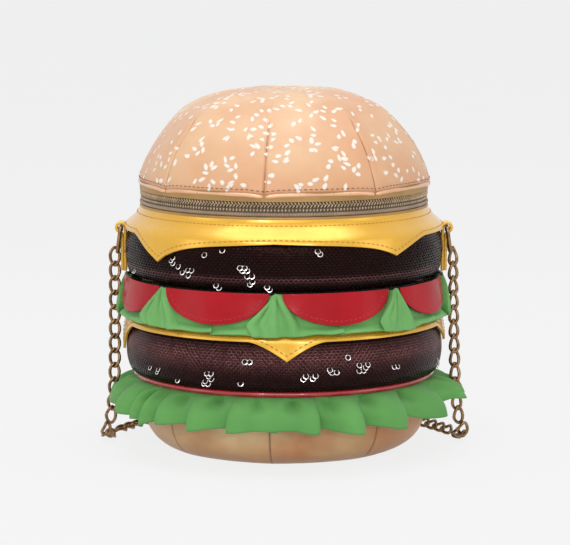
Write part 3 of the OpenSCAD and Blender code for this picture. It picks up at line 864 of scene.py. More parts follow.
def addTopBun():
    bm = ringSheet(384, 64, lambda az, s: bunPlace(towardsSeams(az, 0.78), s), uvHeight=domeLength,
                   seam=lambda az, s: bunSeam(towardsSeams(az, 0.78), s))
    bmesh.ops.remove_doubles(bm, verts=bm.verts, dist=0.001)
    skin = makePiece("top_bun_skin", bm, [skins["bunSkin"]], "lid", ["top_bun"])
    thicken(skin, topBun["skin"])
    bm = ringSheet(128, 28, lambda az, s: bunPlace(az, s, topBun["skin"] + 0.1), uvHeight=domeLength)
    bmesh.ops.remove_doubles(bm, verts=bm.verts, dist=0.001)
    foam = makePiece("top_bun_foam", bm, [skins["foam"]], "lid", ["top_bun_padding"])
    thicken(foam, topBun["foam"])


def addSeedPrint():
    # groups of one to four seeds, scattered evenly and lying on the leather
    draws = random.Random(5)
    bm = bmesh.new()
    uv = bm.loops.layers.uv.new("UVMap")
    long, wide = topBun["seedSize"]
    placed = []
    tries = 0
    while len(placed) < topBun["seeds"] and tries < 30000:
        tries += 1
        s = 1 - math.sqrt(draws.random()) * 0.985
        az = draws.uniform(-180, 180)
        middle = bunPlace(az, s)
        group = draws.choice((1, 1, 2, 2, 3, 4))
        if any((middle - other).length < 5.6 for other in placed):
            continue
        for k in range(group):
            around = math.tau * (k / group + draws.random() * 0.3)
            gap = 0 if group == 1 else 1.5 + 0.35 * group
            reach = max(math.hypot(middle.x, middle.y), 4)
            seedAz = az + math.degrees(gap * math.cos(around) / reach)
            seedS = min(0.985, max(0.02, s + gap * math.sin(around) / domeLength))
            addSeed(bm, uv, seedAz, seedS, draws.uniform(0, math.pi), long * draws.uniform(0.8, 1.15),
                    wide * draws.uniform(0.8, 1.15))
            placed.append(bunPlace(seedAz, seedS))
    makePiece("seed_print", bm, [skins["seed"]], "lid")
    print("seeds:", len(placed))


def addSeed(bm, uv, az, s, turn, long, wide):
    made = bmesh.ops.create_circle(bm, cap_ends=True, cap_tris=True, segments=10, radius=1)
    faces = {face for v in made["verts"] for face in v.link_faces}
    flat = {v: v.co.copy() for v in made["verts"]}
    for face in faces:
        for loop in face.loops:
            loop[uv].uv = flat[loop.vert].xy
    reach = max(math.hypot(*bunPlace(az, s).xy), 4)
    for v, p in flat.items():
        taper = wide * (1 - 0.22 * p.x)
        x, y = long * p.x, taper * p.y
        x, y = x * math.cos(turn) - y * math.sin(turn), x * math.sin(turn) + y * math.cos(turn)
        v.co = bunPlace(az + math.degrees(x / reach), min(1, max(0, s + y / domeLength)), -0.07)


def hemPlace(az, s):
    # a rolled edge under the bun: s runs over the roll from the bun down and in
    gore = 360 / topBun["gores"]
    base = bunPlace(az, 0)
    reach = math.hypot(base.x, base.y)
    a = math.radians(100 - 230 * s)
    away = math.radians(abs(turnFrom(az, topBun["turn"], gore))) * reach
    pinch = 1 - 0.45 * bell(away, 1.6)
    roll = 1.45 * pinch
    tall = (bag["domeLow"] - bag["hemLow"]) / 2 * pinch
    return spot(az, reach - 0.9 + roll * math.cos(a), base.z - 1.15 + tall * math.sin(a))


def addHem():
    bm = ringSheet(384, 12, lambda az, s: hemPlace(towardsSeams(az, 0.7), s), uvHeight=6)
    hem = makePiece("rolled_hem", bm, [skins["hemSkin"]], "lid", ["bun_hem"])
    thicken(hem, 0.7)
    places = stitchRow(lambda az: (bunPlace(az, 0.016, -0.1), spot(az, 1, 0)), -180, 180, 2.9,
                       (1.0, 0.22, 0.3))
    makePiece("hem_stitches", copies(bead(), places), [skins["darkThread"]], "lid")


addTopBun()
addSeedPrint()
addHem()
print("top bun made")


# Bottom bun

bottomBun = {
    "turn": -5.5,
    "gores": 8,
    "flat": 0.2,
    "flatBase": 43.0,  # radius of the flat it stands on
    "corner": 27.0,
    "valley": 0.5,
    "valleyWidth": 6,
    "crease": 0.8,
    "creaseWidth": 0.7,
    "skin": 1.5,
    "board": 69.5,  # radius of the stiff board over it
}


def bottomLine():
    start, reach = bottomBun["flatBase"], bag["bunR"]
    points = [(reach, bag["bunTop"], 0)]
    for i in range(25):
        a = math.radians(90 * i / 24)
        points.append((start + (reach - start) * max(0.0, math.cos(a)) ** 0.62,
                       bottomBun["corner"] * (1 - math.sin(a) ** 0.8), 0))
    points.append((0, 0, 0))
    return alongLine(points)


bottomAt, bottomLength = bottomLine()


def bottomPlace(az, s):
    on = bottomAt(s)
    gore = 360 / bottomBun["gores"]
    off = turnFrom(az, bottomBun["turn"], gore)
    octagon = math.cos(math.radians(gore / 2)) / math.cos(math.radians(gore / 2 - abs(off)))
    side = smoothStep(on.x, 30, 60)
    reach = on.x * (1 - bottomBun["flat"] * (1 - octagon) * side)
    away = math.radians(abs(off)) * max(on.x, 1)
    sunk = side * (bottomBun["valley"] * bell(away, bottomBun["valleyWidth"])
                   + bottomBun["crease"] * bell(away, bottomBun["creaseWidth"]))
    up = smoothStep(on.y, 0.3, 7)
    squashed = 1.0 * bell(turnFrom(az, -90), 32) * bell(on.y - 12, 10)  # the left side stands in a little
    push = (0.5 * wobble(az, on.y, 20, 9) - sunk - squashed) * up
    return spot(az, max(0.0, reach + push), on.y)


def bottomSeam(az, s):
    on = bottomAt(s)
    away = math.radians(abs(turnFrom(az, bottomBun["turn"], 360 / bottomBun["gores"]))) * on.x
    return bell(away, 0.55) * smoothStep(on.x, 40, 52)


def addBottomBun():
    def crowd(az):
        fromTop = az - bottomBun["turn"] + topBun["turn"]
        return towardsSeams(fromTop, 0.75) + bottomBun["turn"] - topBun["turn"]

    bm = ringSheet(320, 48, lambda az, s: bottomPlace(crowd(az), s), uvHeight=bottomLength,
                   seam=lambda az, s: bottomSeam(crowd(az), s))
    bmesh.ops.remove_doubles(bm, verts=bm.verts, dist=0.001)
    skin = makePiece("bottom_bun_skin", bm, [skins["bunBase"]], "bag_body",
                     ["bottom_bun", "bottom_bun_padding"])
    thicken(skin, bottomBun["skin"])


def addBaseBoard():
    low, high = lowOf("base_board"), highOf("base_board")
    edge = bottomBun["board"]
    line, total = alongLine([(0, low.z, 0), (edge, low.z, 0), (edge, high.z, 0), (0, high.z, 0)])

    def shape(az, s):
        on = line(s)
        return spot(az, on.x, on.y)

    bm = ringSheet(96, 60, shape, uvHeight=total)
    bmesh.ops.remove_doubles(bm, verts=bm.verts, dist=0.001)
    makePiece("stiff_base", bm, [skins["board"]], "bag_body", ["base_board"])


addBottomBun()
addBaseBoard()
print("bottom bun made")


# Cheese slices: leather collars whose corners hang over the patties

upperCheese = {
    # azimuth of each corner, how far it drops, and the side on which its edge rises slowly
    "corners": [(-48.5, 12.5, 1), (41.5, 8.2, -1), (131.5, 11.0, 1), (-138.5, 11.0, -1)],
    "collar": [(79.7, 135.1), (79.8, 134.0), (80.5, 132.7), (81.7, 131.0), (83.4, 129.2), (86.3, 126.8),
               (87.8, 125.0)],
    "edge": 123.2,
    "reach": 88.6,
    "flare": 1.9,
    "flareFrom": 125.0,
    "seamStitch": (81.1, 132.0),  # radius and height of the stitches under the zip
}

lowerCheese = {
    "corners": [(1.0, 10.2), (84.0, 10.4), (181.0, 10.0), (-83.0, 15.1)],
    "collar": [(77.4, 79.6), (80.6, 79.2), (84.0, 77.6), (86.6, 75.0), (88.0, 72.6)],
    "edge": 71.4,
    "reach": 88.5,
    "flare": 1.0,
    "flareFrom": 72.6,
}

cheese = {
    "columns": 720,
    "skin": 1.3,
    "stitchIn": 2.3,
    "stitchPitch": 3.0,
    "stitch": (1.1, 0.36, 0.34),
    "ripple": 0.35,
}


def upperDrop(az):
    drop = 0.0
    for corner, depth, slow in upperCheese["corners"]:
        t = turnFrom(az, corner)
        if t * slow >= 0:
            share = 0.76 * math.exp(-abs(t) / 8.5) + 0.24 * max(0.0, 1 - abs(t) / 45)
        else:
            share = max(0.0, 1 - abs(t) / 18) ** 1.3
        drop = max(drop, depth * share)
    return drop


def lowerDrop(az):
    return max(depth * max(0.0, 1 - abs(turnFrom(az, corner)) / 13.5) ** 1.5
               for corner, depth in lowerCheese["corners"])


def cheesePlace(part, dropAt, az, z):
    # a point of the hanging flap, at a given height
    down = part["flareFrom"] - z
    start = part["collar"][-1][0]
    drop = dropAt(az)
    whole = part["flareFrom"] - part["edge"] + drop
    reach = start + (part["reach"] - start) * (1 - math.exp(-down / 1.2))
    reach += part["flare"] * smoothStep(drop, 0, 9) * (max(0.0, down) / whole) ** 1.6
    return spot(az, reach + cheese["ripple"] * wobble(az, z, 14, 21), z)


def makeCheese(name, part, dropAt, stands):
    collar, _ = alongLine([(r, z, 0) for r, z in part["collar"]])
    rows, bent = 24, 12

    def shape(az, s):
        if s * rows <= bent:
            on = collar(s * rows / bent)
            return spot(az, on.x + cheese["ripple"] * wobble(az, on.y, 14, 21) * s * rows / bent, on.y)
        t = (s * rows - bent) / (rows - bent)
        hang = part["flareFrom"] - part["edge"] + dropAt(az)
        return cheesePlace(part, dropAt, az, part["flareFrom"] - t * hang)

    def depthAt(az):
        return collarLength(part) + part["flareFrom"] - part["edge"] + dropAt(az)

    bm = ringSheet(cheese["columns"], rows, shape)
    piece = makePiece(name, bm, [skins["cheeseSkin"]], "bag_body", stands)
    thicken(piece, cheese["skin"], edge=0.4)
    flat = sum(math.pi / 360 * reachOf(part) * 2 * depthAt(az) for az in range(360))
    longest = max(depthAt(az / 2) for az in range(720))
    inside, perDegree = cheese["stitchIn"], 4
    around = [k * inside / 8 for k in range(-7, 8)]
    track = [max(part["edge"] - dropAt(step / perDegree + math.degrees(x / part["reach"]))
                 + math.sqrt(inside ** 2 - x * x) for x in around)
             for step in range(360 * perDegree)]

    def stitchAt(az):
        z = track[round(az * perDegree) % len(track)]
        if z > part["flareFrom"]:
            on = collar(1 - (z - part["flareFrom"]) / collarLength(part))
            place = spot(az, on.x, on.y)
        else:
            place = cheesePlace(part, dropAt, az, z)
        return place, spot(az, 1, 0.25)

    places = stitchRow(stitchAt, 0, 360, cheese["stitchPitch"], cheese["stitch"])
    makePiece(name + "_stitches", copies(bead(), places), [skins["thread"]], "bag_body")


def reachOf(part):
    return (part["collar"][0][0] + part["reach"]) / 2


def collarLength(part):
    return alongLine([(r, z, 0) for r, z in part["collar"]])[1]


def addCollarSeam():
    # a line of stitches under the zip, where the collar turns out
    places = stitchRow(lambda az: (spot(az, *upperCheese["seamStitch"]), spot(az, 0.8, 0.6)), -180, 180,
                       2.6, (0.95, 0.26, 0.24))
    makePiece("collar_seam_stitches", copies(bead(), places), [skins["thread"]], "bag_body")


makeCheese("upper_cheese_skin", upperCheese, upperDrop,
           ["upper_cheese", "collar_padding"])
makeCheese("lower_cheese_skin", lowerCheese, lowerDrop, ["lower_cheese"])
addCollarSeam()
print("cheese made")


# Patties: padded rolls sewn all over with sequins

patty = {
    "seam": 81.0,
    "belly": 6.0,
    "skin": 1.2,
    "clothFrom": 0.06,  # where the cloth and the sequins begin, in radians round the roll
    "sequinsFrom": 0.1,
    "sequins": 214,  # in a row
    "stray": 0.04,  # of a sequin along its row, as a share of the pitch
    "rows": 21,
    "disc": 1.65,
    "rise": 0.16,  # the cup of a sequin
    "hole": 0.55,
}


def pattyPlace(band, az, a, outside=0.0):
    low, high = band
    tall = high - low
    belly = patty["seam"] + patty["belly"] * math.sin(a) ** 0.7
    z = low + tall * (1 - math.cos(a)) / 2
    uneven = 0.6 * wobble(az, z, 18, low) * math.sin(a)
    return spot(az, belly + uneven + outside * math.sin(a), z - outside * math.cos(a) * 0.6)


def sequinDisc():
    bm = bmesh.new()
    cup = ((patty["disc"], 0, 0), (1.05, 0, patty["rise"]), (patty["hole"], 0, 0.7 * patty["rise"]))
    line = [bm.verts.new(p) for p in cup]
    edges = [bm.edges.new(pair) for pair in zip(line, line[1:])]
    bmesh.ops.spin(bm, geom=line + edges, cent=(0, 0, 0), axis=(0, 0, 1), angle=math.tau, steps=8,
                   use_merge=True)
    mesh = sourceMesh(bm)
    if sum(face.normal.z for face in mesh.polygons) < 0:
        mesh.flip_normals()
    return mesh


def makePatty(name, band, stands, look):
    start, first, fine = patty["clothFrom"], patty["sequinsFrom"], 80
    bm = ringSheet(180, 20, lambda az, s: pattyPlace(band, az, start + s * (math.pi - 2 * start)),
                   uvHeight=34)
    cloth = makePiece(name + "_cloth", bm, [skins["pattyCloth"]], "bag_body", stands)
    thicken(cloth, patty["skin"])
    draws = random.Random(look["seed"])
    line = [pattyPlace(band, 0, first + i * (math.pi - 2 * first) / fine) for i in range(fine + 1)]
    steps = [0.0]
    for p, q in zip(line, line[1:]):
        steps.append(steps[-1] + math.hypot(math.hypot(*q.xy) - math.hypot(*p.xy), q.z - p.z))
    places, loose = [], []
    for row in range(patty["rows"]):
        want = steps[-1] * (row + 0.5) / patty["rows"]
        i = max(k for k in range(fine) if steps[k] <= want)
        a = first + (i + (want - steps[i]) / (steps[i + 1] - steps[i])) * (math.pi - 2 * first) / fine
        for column in range(patty["sequins"]):
            stray = draws.uniform(-patty["stray"], patty["stray"])
            az = -180 + 360 * (column + 0.5 * (row % 2) + stray) / patty["sequins"]
            matrix, hangs = sequinTurn(band, az, a, draws, look)
            (loose if hangs else places).append(matrix)
    makePiece(name + "_sequins", shadedCopies(sequinDisc(), places, draws, look), [skins["sequin"]],
              "bag_body")
    # the loose sequins take the painted glint material, with the full shade value on their rims
    makePiece(name + "_loose_glint_sequins", shadedCopies(sequinDisc(), loose, draws, {"shade": 1, "lit": []}),
              [skins["sequinGlint"]], "bag_body")


def shadedCopies(disc, places, draws, look):
    rims = [v.co.xy.length > 1.4 for v in disc.vertices]
    each = len(rims)
    bm = copies(disc, places)
    shade = bm.verts.layers.float.new("shade")
    verts = bm.verts[:]
    # painted reflection: each copy's rim gets the shade value, raised in the rows listed under lit, and its
    # middle only 0.12 of it
    for k, matrix in enumerate(places):
        height = matrix.translation.z
        value = look["shade"] + sum(strong * bell(height - z, wide) for z, wide, strong in look["lit"])
        value *= draws.uniform(0.8, 1.2)
        for v, rim in zip(verts[k * each:(k + 1) * each], rims):
            v[shade] = value if rim else 0.12 * value
    return bm


def sequinTurn(band, az, a, draws, look):
    place = pattyPlace(band, az, a, 0.55)
    up = pattyPlace(band, az, min(a + 0.03, math.pi), 0.55) - pattyPlace(band, az, max(a - 0.03, 0), 0.55)
    up.normalize()
    along = spot(az + 90, 1, 0)
    outward = along.cross(up)
    nod = Matrix.Rotation(math.radians(look["nod"] + draws.gauss(0, look["tilt"])), 3, along)
    sideways = Matrix.Rotation(math.radians(draws.gauss(0, look["tilt"])), 3, up)
    turn = nod @ sideways
    hangs = False
    for middle, height, size in look["loose"]:
        # a few sequins hang loose together and face upwards, and get the painted glint
        near = math.hypot(math.radians(turnFrom(az, middle)) * 87, place.z - height)
        if near < size * draws.uniform(0.4, 1.1) and draws.random() < 0.6:
            hangs = True
            place = place + 0.5 * outward
            lift = (turn @ outward).rotation_difference(Vector((*(0.9 * outward.xy), 0.42)))
            turn = lift.to_matrix() @ turn
    flat = Matrix((along, up, outward)).transposed()
    return Matrix.Translation(place) @ (turn @ flat).to_4x4(), hangs


def glintPatchSpots(seed, band, front):
    draws = random.Random(seed)
    around = [(draws.uniform(65, 295), draws.uniform(band[0] + 4, band[1] - 6), draws.uniform(1.2, 3.2))
              for _ in range(12)]
    return front + around


# azimuth, height and size of the patches at the front where sequins hang loose with a painted glint
upperGlintPatches = [(-41, 110.5, 4.6), (-37, 106, 3.2), (-13.5, 110, 4.0), (-12, 105.5, 3.4),
              (-21, 103.5, 1.6), (-29, 117, 1.5), (-22, 118.5, 1.8), (-34, 108, 1.4),
              (-5.5, 100.5, 1.8), (-24, 100.4, 1.7), (12, 118.4, 1.6), (38, 106, 1.3)]
lowerGlintPatches = [(-27.5, 50.6, 4.2), (7, 52.6, 3.0), (10, 52.8, 2.4), (16.5, 54.6, 3.0),
              (28, 56.2, 3.6), (31, 58.6, 2.2), (-45, 60.6, 1.6), (-16, 48.6, 1.7),
              (-12.5, 60.2, 1.7), (43, 54.4, 2.0), (-55, 52, 1.8), (-51, 51, 1.5),
              (0.5, 46.8, 1.4), (37, 61, 1.3), (-41, 47.8, 1.4), (22, 62.5, 1.3)]

sequinLook = {
    # shade of the film's painted rim reflection, and rows whose rims get more of it as painted reflection:
    # height, width and strength
    "upper": {"seed": 31, "nod": 12, "tilt": 2.5, "shade": 0.04, "lit": [(103.0, 1.3, 0.6)],
              "loose": glintPatchSpots(41, bag["upperPatty"], upperGlintPatches)},
    "lower": {"seed": 32, "nod": 3, "tilt": 1.2, "shade": 0.07, "lit": [(61.5, 6.0, 1.0)],
              "loose": glintPatchSpots(43, bag["lowerPatty"], lowerGlintPatches)},
}

makePatty("upper_patty", bag["upperPatty"], ["upper_patty", "upper_patty_padding"], sequinLook["upper"])
makePatty("lower_patty", bag["lowerPatty"], ["lower_patty", "lower_patty_padding"], sequinLook["lower"])
print("patties made")


# Tomato slices: eight patent half discs over the upper lettuce

tomato = {
    "first": 19.7,  # azimuth of the first wedge's middle
    "count": 8,
    "width": 62.0,
    "height": 17.0,
    "top": 97.0,
    "reachTop": 87.4,
    "reachBottom": 90.3,
    "skin": 1.3,
    "stitchIn": 2.2,
}


def tomatoPlace(k, x, z):
    # a point of wedge k, x along the bag from the wedge's middle
    down = (tomato["top"] - z) / tomato["height"]
    middle = tomato["first"] + 360 / tomato["count"] * k
    reach = tomato["reachTop"] + (tomato["reachBottom"] - tomato["reachTop"]) * down ** 1.3
    # the right end of each wedge lies under the next one's left end
    side = x / (tomato["width"] / 2)
    reach += 0.9 * smoothStep(-side, 0.35, 1.0) - 0.5 * smoothStep(side, 0.35, 1.0)
    az = middle + math.degrees(x / 88)
    return spot(az, reach + 0.3 * wobble(az, z, 16, 41), z)


def addTomatoes():
    for k in range(tomato["count"]):
        bm = bmesh.new()
        bmesh.ops.create_grid(bm, x_segments=40, y_segments=12, size=1)
        for v in bm.verts:
            turn = math.pi / 2 * v.co.x
            x = tomato["width"] / 2 * math.sin(turn)
            v.co = tomatoPlace(k, x, tomato["top"] - tomato["height"] * (1 - v.co.y) / 2 * math.cos(turn))
        bmesh.ops.remove_doubles(bm, verts=bm.verts, dist=0.01)
        bmesh.ops.recalc_face_normals(bm, faces=bm.faces)
        facing = sum(face.normal.dot(spot(tomato["first"] + 45 * k, 1, 0)) for face in bm.faces)
        wedge = makePiece(f"tomato_skin_{k + 1}", bm, [skins["tomatoSkin"], skins["edgePaint"]], "bag_body",
                          [f"tomato_slice_{k + 1}"], flip=facing < 0)
        thicken(wedge, tomato["skin"], edge=0.2).modifiers[0].material_offset_rim = 1
        inner = tomato["stitchIn"]

        def edgeAt(t):
            a = math.pi * t
            x = -(tomato["width"] / 2 - 1.6 * inner) * math.cos(a)
            z = tomato["top"] - (tomato["height"] - inner) * math.sin(a)
            place = tomatoPlace(k, x, z)
            return place, spot(azOf(place), 1, 0)

        places = stitchRow(edgeAt, 0.06, 0.94, 2.7, (1.0, 0.24, 0.2))
        makePiece(f"tomato_stitches_{k + 1}", copies(bead(), places), [skins["redThread"]], "bag_body")


addTomatoes()
print("tomatoes made")


# Upper lettuce: a gathered frill that comes forward in a fan between the tomatoes

upperFrill = {
    "top": 95.3,
    "fanTop": 1.8,
    "edge": 75.6,
    "seamReach": 84.9,
    "behind": 87.0,  # its reach behind the foot of a tomato
    "edgeReach": 91.0,
    "gapAt": -2.8,  # azimuth of a gap between tomatoes
    "fanLeft": 9.6,  # half widths of a fan at its foot, in degrees
    "fanRight": 5.4,
    "foldFrom": -11,  # where the fold and the fan begin and the fan ends, in columns' degrees
    "fanFrom": -8,
    "fanTo": 4,
    "fold": 2.6,  # how far the fan's left edge folds back under itself
    "proud": 2.0,  # how far the fan stands in front of the tomatoes
    "crease": 2.3,
    "lap": 1.5,
    "skin": 0.55,
    "flatTall": 24.0,
}


def fanShape(k):  # each fan differs a little
    draws = random.Random(70 + k)
    return {"left": draws.uniform(0.75, 1.1), "right": draws.uniform(0.85, 1.15),
            "lean": draws.uniform(-1.0, 1.5), "mirrored": draws.random() < 0.3,
            "drop": draws.uniform(-0.8, 1.6),
            "creases": [(draws.uniform(-0.75, -0.5), draws.uniform(1.2, 2.2)),
                        (draws.uniform(-0.4, -0.25), draws.uniform(0.5, 1.2)),
                        (draws.uniform(0.4, 0.7), draws.uniform(0.8, 1.8))]}


fans = [fanShape(k) for k in range(tomato["count"])]
fans[0].update(mirrored=False, creases=[(-0.62, 2.2), (-0.3, 0.9), (0.55, 1.6)], left=1.0, right=1.0,
               lean=1.6, drop=1.4)


def upperFrillPlace(az, s):
    half = 180 / tomato["count"]
    gap = turnFrom(az, upperFrill["gapAt"], 2 * half)
    centre = az - gap
    fan = fans[round((centre - upperFrill["gapAt"]) / (2 * half)) % tomato["count"]]
    way = -1 if fan["mirrored"] else 1
    p = gap * way
    grow = smoothStep(s, 0.0, 0.95) * 0.55 + 0.45 * min(1, s / 0.8)
    left = 1.0 + upperFrill["fanLeft"] * fan["left"] * grow * (1 - 0.3 * smoothStep(s, 0.68, 1))
    right = 0.7 + upperFrill["fanRight"] * fan["right"] * grow
    back = upperFrill["fold"] * left / 10
    hidden = smoothStep(s, 0.0, 0.9)
    behind = upperFrill["seamReach"] + (upperFrill["behind"] - upperFrill["seamReach"]) * hidden
    free = smoothStep(s, 0.8, 1.0)
    behind += (upperFrill["edgeReach"] - upperFrill["behind"]) * free
    top = upperFrill["top"] + upperFrill["fanTop"] * bell(p, 9)
    z = top + (upperFrill["edge"] - top) * s
    tomatoFace = tomato["reachTop"] + (tomato["reachBottom"] - tomato["reachTop"]) * min(1, s) ** 1.3
    front = tomatoFace + upperFrill["proud"] * math.sin(math.pi * min(0.5, s + 0.08))
    front += 0.8 * math.sin(math.pi * s)
    foldFrom, fanFrom, fanTo = upperFrill["foldFrom"], upperFrill["fanFrom"], upperFrill["fanTo"]
    if p < foldFrom:  # behind the tomato on the left
        t = (p + half) / (half + foldFrom)
        x = -half + t * (half - (left - back))
        reach = behind
    elif p < fanFrom:  # the fold under the fan's left edge
        t = smoothStep(p, foldFrom, fanFrom)
        x = -(left - back) - back * t
        reach = behind + (front - behind) * t
    elif p < fanTo:  # the fan
        t = (p - fanFrom) / (fanTo - fanFrom)
        x = -left + t * (left + right)
        reach = front
    else:  # behind the tomato on the right
        t = (p - fanTo) / (half - fanTo)
        x = right + t * (half - right)
        reach = behind + (front - behind) * (1 - smoothStep(t, 0, 0.16))
    # a deep crease from the apex down, and shallow ones beside it
    split = 0.2 + fan["lean"] * s
    deepest = upperFrill["crease"] * bell(x - split, 0.35 + 0.75 * s)
    reach -= deepest * smoothStep(s, 0.0, 0.25) * (1 - 0.3 * s)
    for share, deep in fan["creases"]:
        at = share * (left if share < 0 else right)
        reach -= deep * bell(x - at, 0.3 + 0.9 * s) * smoothStep(s, 0.12, 0.45)
    reach -= 1.7 * bell(x - split - 2.2, 1.1 + s) * smoothStep(s, 0.35, 0.85)
    reach += 1.2 * bell(x + 0.5 * left, 1.2 + s) * s
    # laps of cloth under the tomatoes' middles
    lap = bell(abs(x) - half, 3.2)
    side = math.copysign(1, gap)
    reach += upperFrill["lap"] * free * lap * side * way
    x += 1.6 * free * bell(abs(x) - half + 1.2, 1.6) * side * way * 0.6
    edgeDrop = free * (fan["drop"] * bell(x, 9) + 1.1 * wobble(az, 0, 13, 5) - 0.9 * lap * side * way)
    place = centre + x * way
    return spot(place, reach + 0.35 * wobble(place, z, 9, 12) * free, z - edgeDrop)


def addUpperLettuce():
    tall = upperFrill["flatTall"]
    bm = ringSheet(1080, 24, upperFrillPlace, uvRadius=120, uvHeight=tall)
    area = sum(face.calc_area() for face in bm.faces)
    leaf = makePiece("upper_lettuce_frill", bm, [skins["lightLeaf"]], "bag_body",
                     ["upper_lettuce"])
    thicken(leaf, upperFrill["skin"], offset=0)
    print("upper lettuce area:", round(area))


addUpperLettuce()


# Lower lettuce: deep soft pleats that lean away from the front

lowerFrill = {
    "pleats": 30,
    "seam": 41.0,
    "seamReach": 80.8,
    "edge": 24.6,
    "edgeReach": 94.3,
    "chainDent": 2.2,  # the chain presses it in at each side
    "lean": 0.75,  # sideways swing of a pleat at the seam, as a share of its width
    "leanMore": 0.75,  # more of it at the edge
    "deep": 1.7,
    "deepMore": 2.9,
    "valley": 6.5,
    "skin": 0.6,
    "flatTall": 28.0,
}


def pleatStarts():
    draws = random.Random(23)
    widths = [draws.choice((0.5, 0.75, 1.1, 1.5)) * draws.uniform(0.85, 1.15)
              for _ in range(lowerFrill["pleats"])]
    total, starts = sum(widths), [-180.0]
    for width in widths:
        starts.append(starts[-1] + 360 * width / total)
    return starts


pleats = pleatStarts()


def pleatShape(i):
    draws = random.Random(200 + i)
    return {"deep": draws.uniform(0.55, 1.6), "lean": draws.uniform(0.7, 1.25),
            "drop": draws.uniform(-1.0, 1.3), "hollow": draws.uniform(0.5, 1.5),
            "hollowAt": draws.uniform(-0.12, 0.08), "slant": draws.uniform(0.2, 3.0),
            "low": draws.uniform(0.28, 0.46)}


pleatShapes = [pleatShape(i) for i in range(lowerFrill["pleats"])]


def lowerFrillPlace(az, s):
    az = (az + 180) % 360 - 180
    i = max(k for k in range(lowerFrill["pleats"]) if pleats[k] <= az + 1e-6)
    width = pleats[i + 1] - pleats[i]
    p = (az - pleats[i]) / width
    shape = pleatShapes[i]
    turn = math.tau * p
    middle = pleats[i] + width / 2
    leans = math.tanh((middle + 3) / 14) * math.tanh((180 - abs(middle)) / 14)
    swing = math.sin(turn) + 0.22 * math.sin(2 * turn)
    sharp = lowerFrill["lean"] + lowerFrill["leanMore"] * smoothStep(s, 0, 0.8)
    sharp *= smoothStep(s, 0, 0.12) * shape["lean"]
    x = az + sharp * width * math.sin(turn) / math.tau
    depth = (lowerFrill["deep"] + lowerFrill["deepMore"] * s) * smoothStep(s, 0, 0.15) * shape["deep"]
    # the cloth leaves the seam outwards, then falls
    out = math.sin(math.pi / 2 * min(1, s * 1.05)) ** 0.8
    reach = lowerFrill["seamReach"] + (lowerFrill["edgeReach"] - lowerFrill["seamReach"]) * out
    reach += depth * swing * leans
    edge = lowerFrill["edge"] + 1.2 * wobble(az, 0, 24, 14) - shape["slant"] * math.sin(turn) * leans
    edge += shape["drop"] * math.sin(math.pi * p) ** 2
    edge += 9 * bell(turnFrom(x, 82), 17) + 3 * bell(turnFrom(x, -86), 10)
    reach += 3.5 * s * bell(turnFrom(x, 80), 14)
    reach -= lowerFrill["chainDent"] * (bell(turnFrom(x, 90), 8) + bell(turnFrom(x, -90), 8)) * s
    fall = 0.4 * s + 0.6 * s ** 2.1
    z = lowerFrill["seam"] + (edge - lowerFrill["seam"]) * fall
    # shadowed hollows near the seam, in the middle of each pleat
    panel = pleatShapes[(i + round(p)) % lowerFrill["pleats"]]
    aside = (p - panel["hollowAt"] * leans + 0.5) % 1 - 0.5
    hollow = panel["hollow"] * bell(aside, 0.085 + 0.05 * s) * bell(s - panel["low"], 0.22)
    reach -= lowerFrill["valley"] * hollow
    z -= 1.2 * hollow
    return spot(x, reach + 0.4 * wobble(az, 30 * s, 9, 17) * s, z)


def addLowerLettuce():
    tall = lowerFrill["flatTall"]
    bm = ringSheet(1280, 22, lowerFrillPlace, uvRadius=180, uvHeight=tall)
    area = sum(face.calc_area() for face in bm.faces)
    leaf = makePiece("lower_lettuce_frill", bm, [skins["darkLeaf"]], "bag_body",
                     ["lower_lettuce"])
    thicken(leaf, lowerFrill["skin"], offset=0)
    print("lower lettuce area:", round(area))


addLowerLettuce()
print("lettuce made")


# Zip: woven tapes, a ridge and two rows of coil teeth that mesh

zipParts = {
    "endFromBack": 29.0,
    "tapeBeyond": 3,  # degrees that a tape runs on past the teeth
    "teeth": 222,
    "reach": 79.0,
    "meet": 142.85,
    "apart": 0.72,
    "tooth": (1.25, 0.42, 0.5),
    "slant": 36,
    "dotHeight": 140.0,
    "dot": (0.85, 0.52, 0.5),
    "dotTurn": -8,
    "dotIn": 0.25,
    "tapeThickness": 0.6,
}

lowerTape = [(78.4, 135.2), (78.3, 139.2), (78.4, 140.1), (78.2, 141.1), (78.0, 141.55)]
tapeRidge = [(78.6, 136.7), (79.3, 136.9), (79.75, 137.4), (79.75, 138.0), (79.3, 138.5), (78.6, 138.7)]
rimBinding = [(78.6, 136.5), (79.1, 136.6), (79.5, 136.2), (79.6, 135.6), (79.55, 134.7)]
upperTape = [(78.0, 141.65), (78.2, 142.6), (78.3, 144.2), (78.4, 145.6), (78.5, 147.0)]


def addTape(name, line, body, stands=(), finish="tape"):
    start = 180 - zipParts["endFromBack"] + zipParts["tapeBeyond"]
    at, total = alongLine([(r, z, 0) for r, z in line])

    def shape(az, s):
        on = at(s)
        return spot(az, on.x, on.y)

    bm = ringSheet(360, 3 * (len(line) - 1), shape, start=-start, sweep=2 * start, uvRadius=79,
                   uvHeight=total)
    tape = makePiece(name, bm, [skins[finish]], body, stands)
    thicken(tape, zipParts["tapeThickness"], edge=0.12)


def zipRow(share, lean, reach, height, size):
    # one row of small beads round the zip, share of a step along and leaning by lean degrees
    ends = 180 - zipParts["endFromBack"]
    step = 2 * ends / zipParts["teeth"]
    places = []
    for i in range(zipParts["teeth"]):
        az = -ends + (i + share) * step
        outward = spot(az, 1, 0)
        along = Matrix.Rotation(math.radians(lean), 3, outward) @ Vector((0, 0, 1))
        places.append(beadTurn(spot(az, reach, height), along, outward, size))
    return places


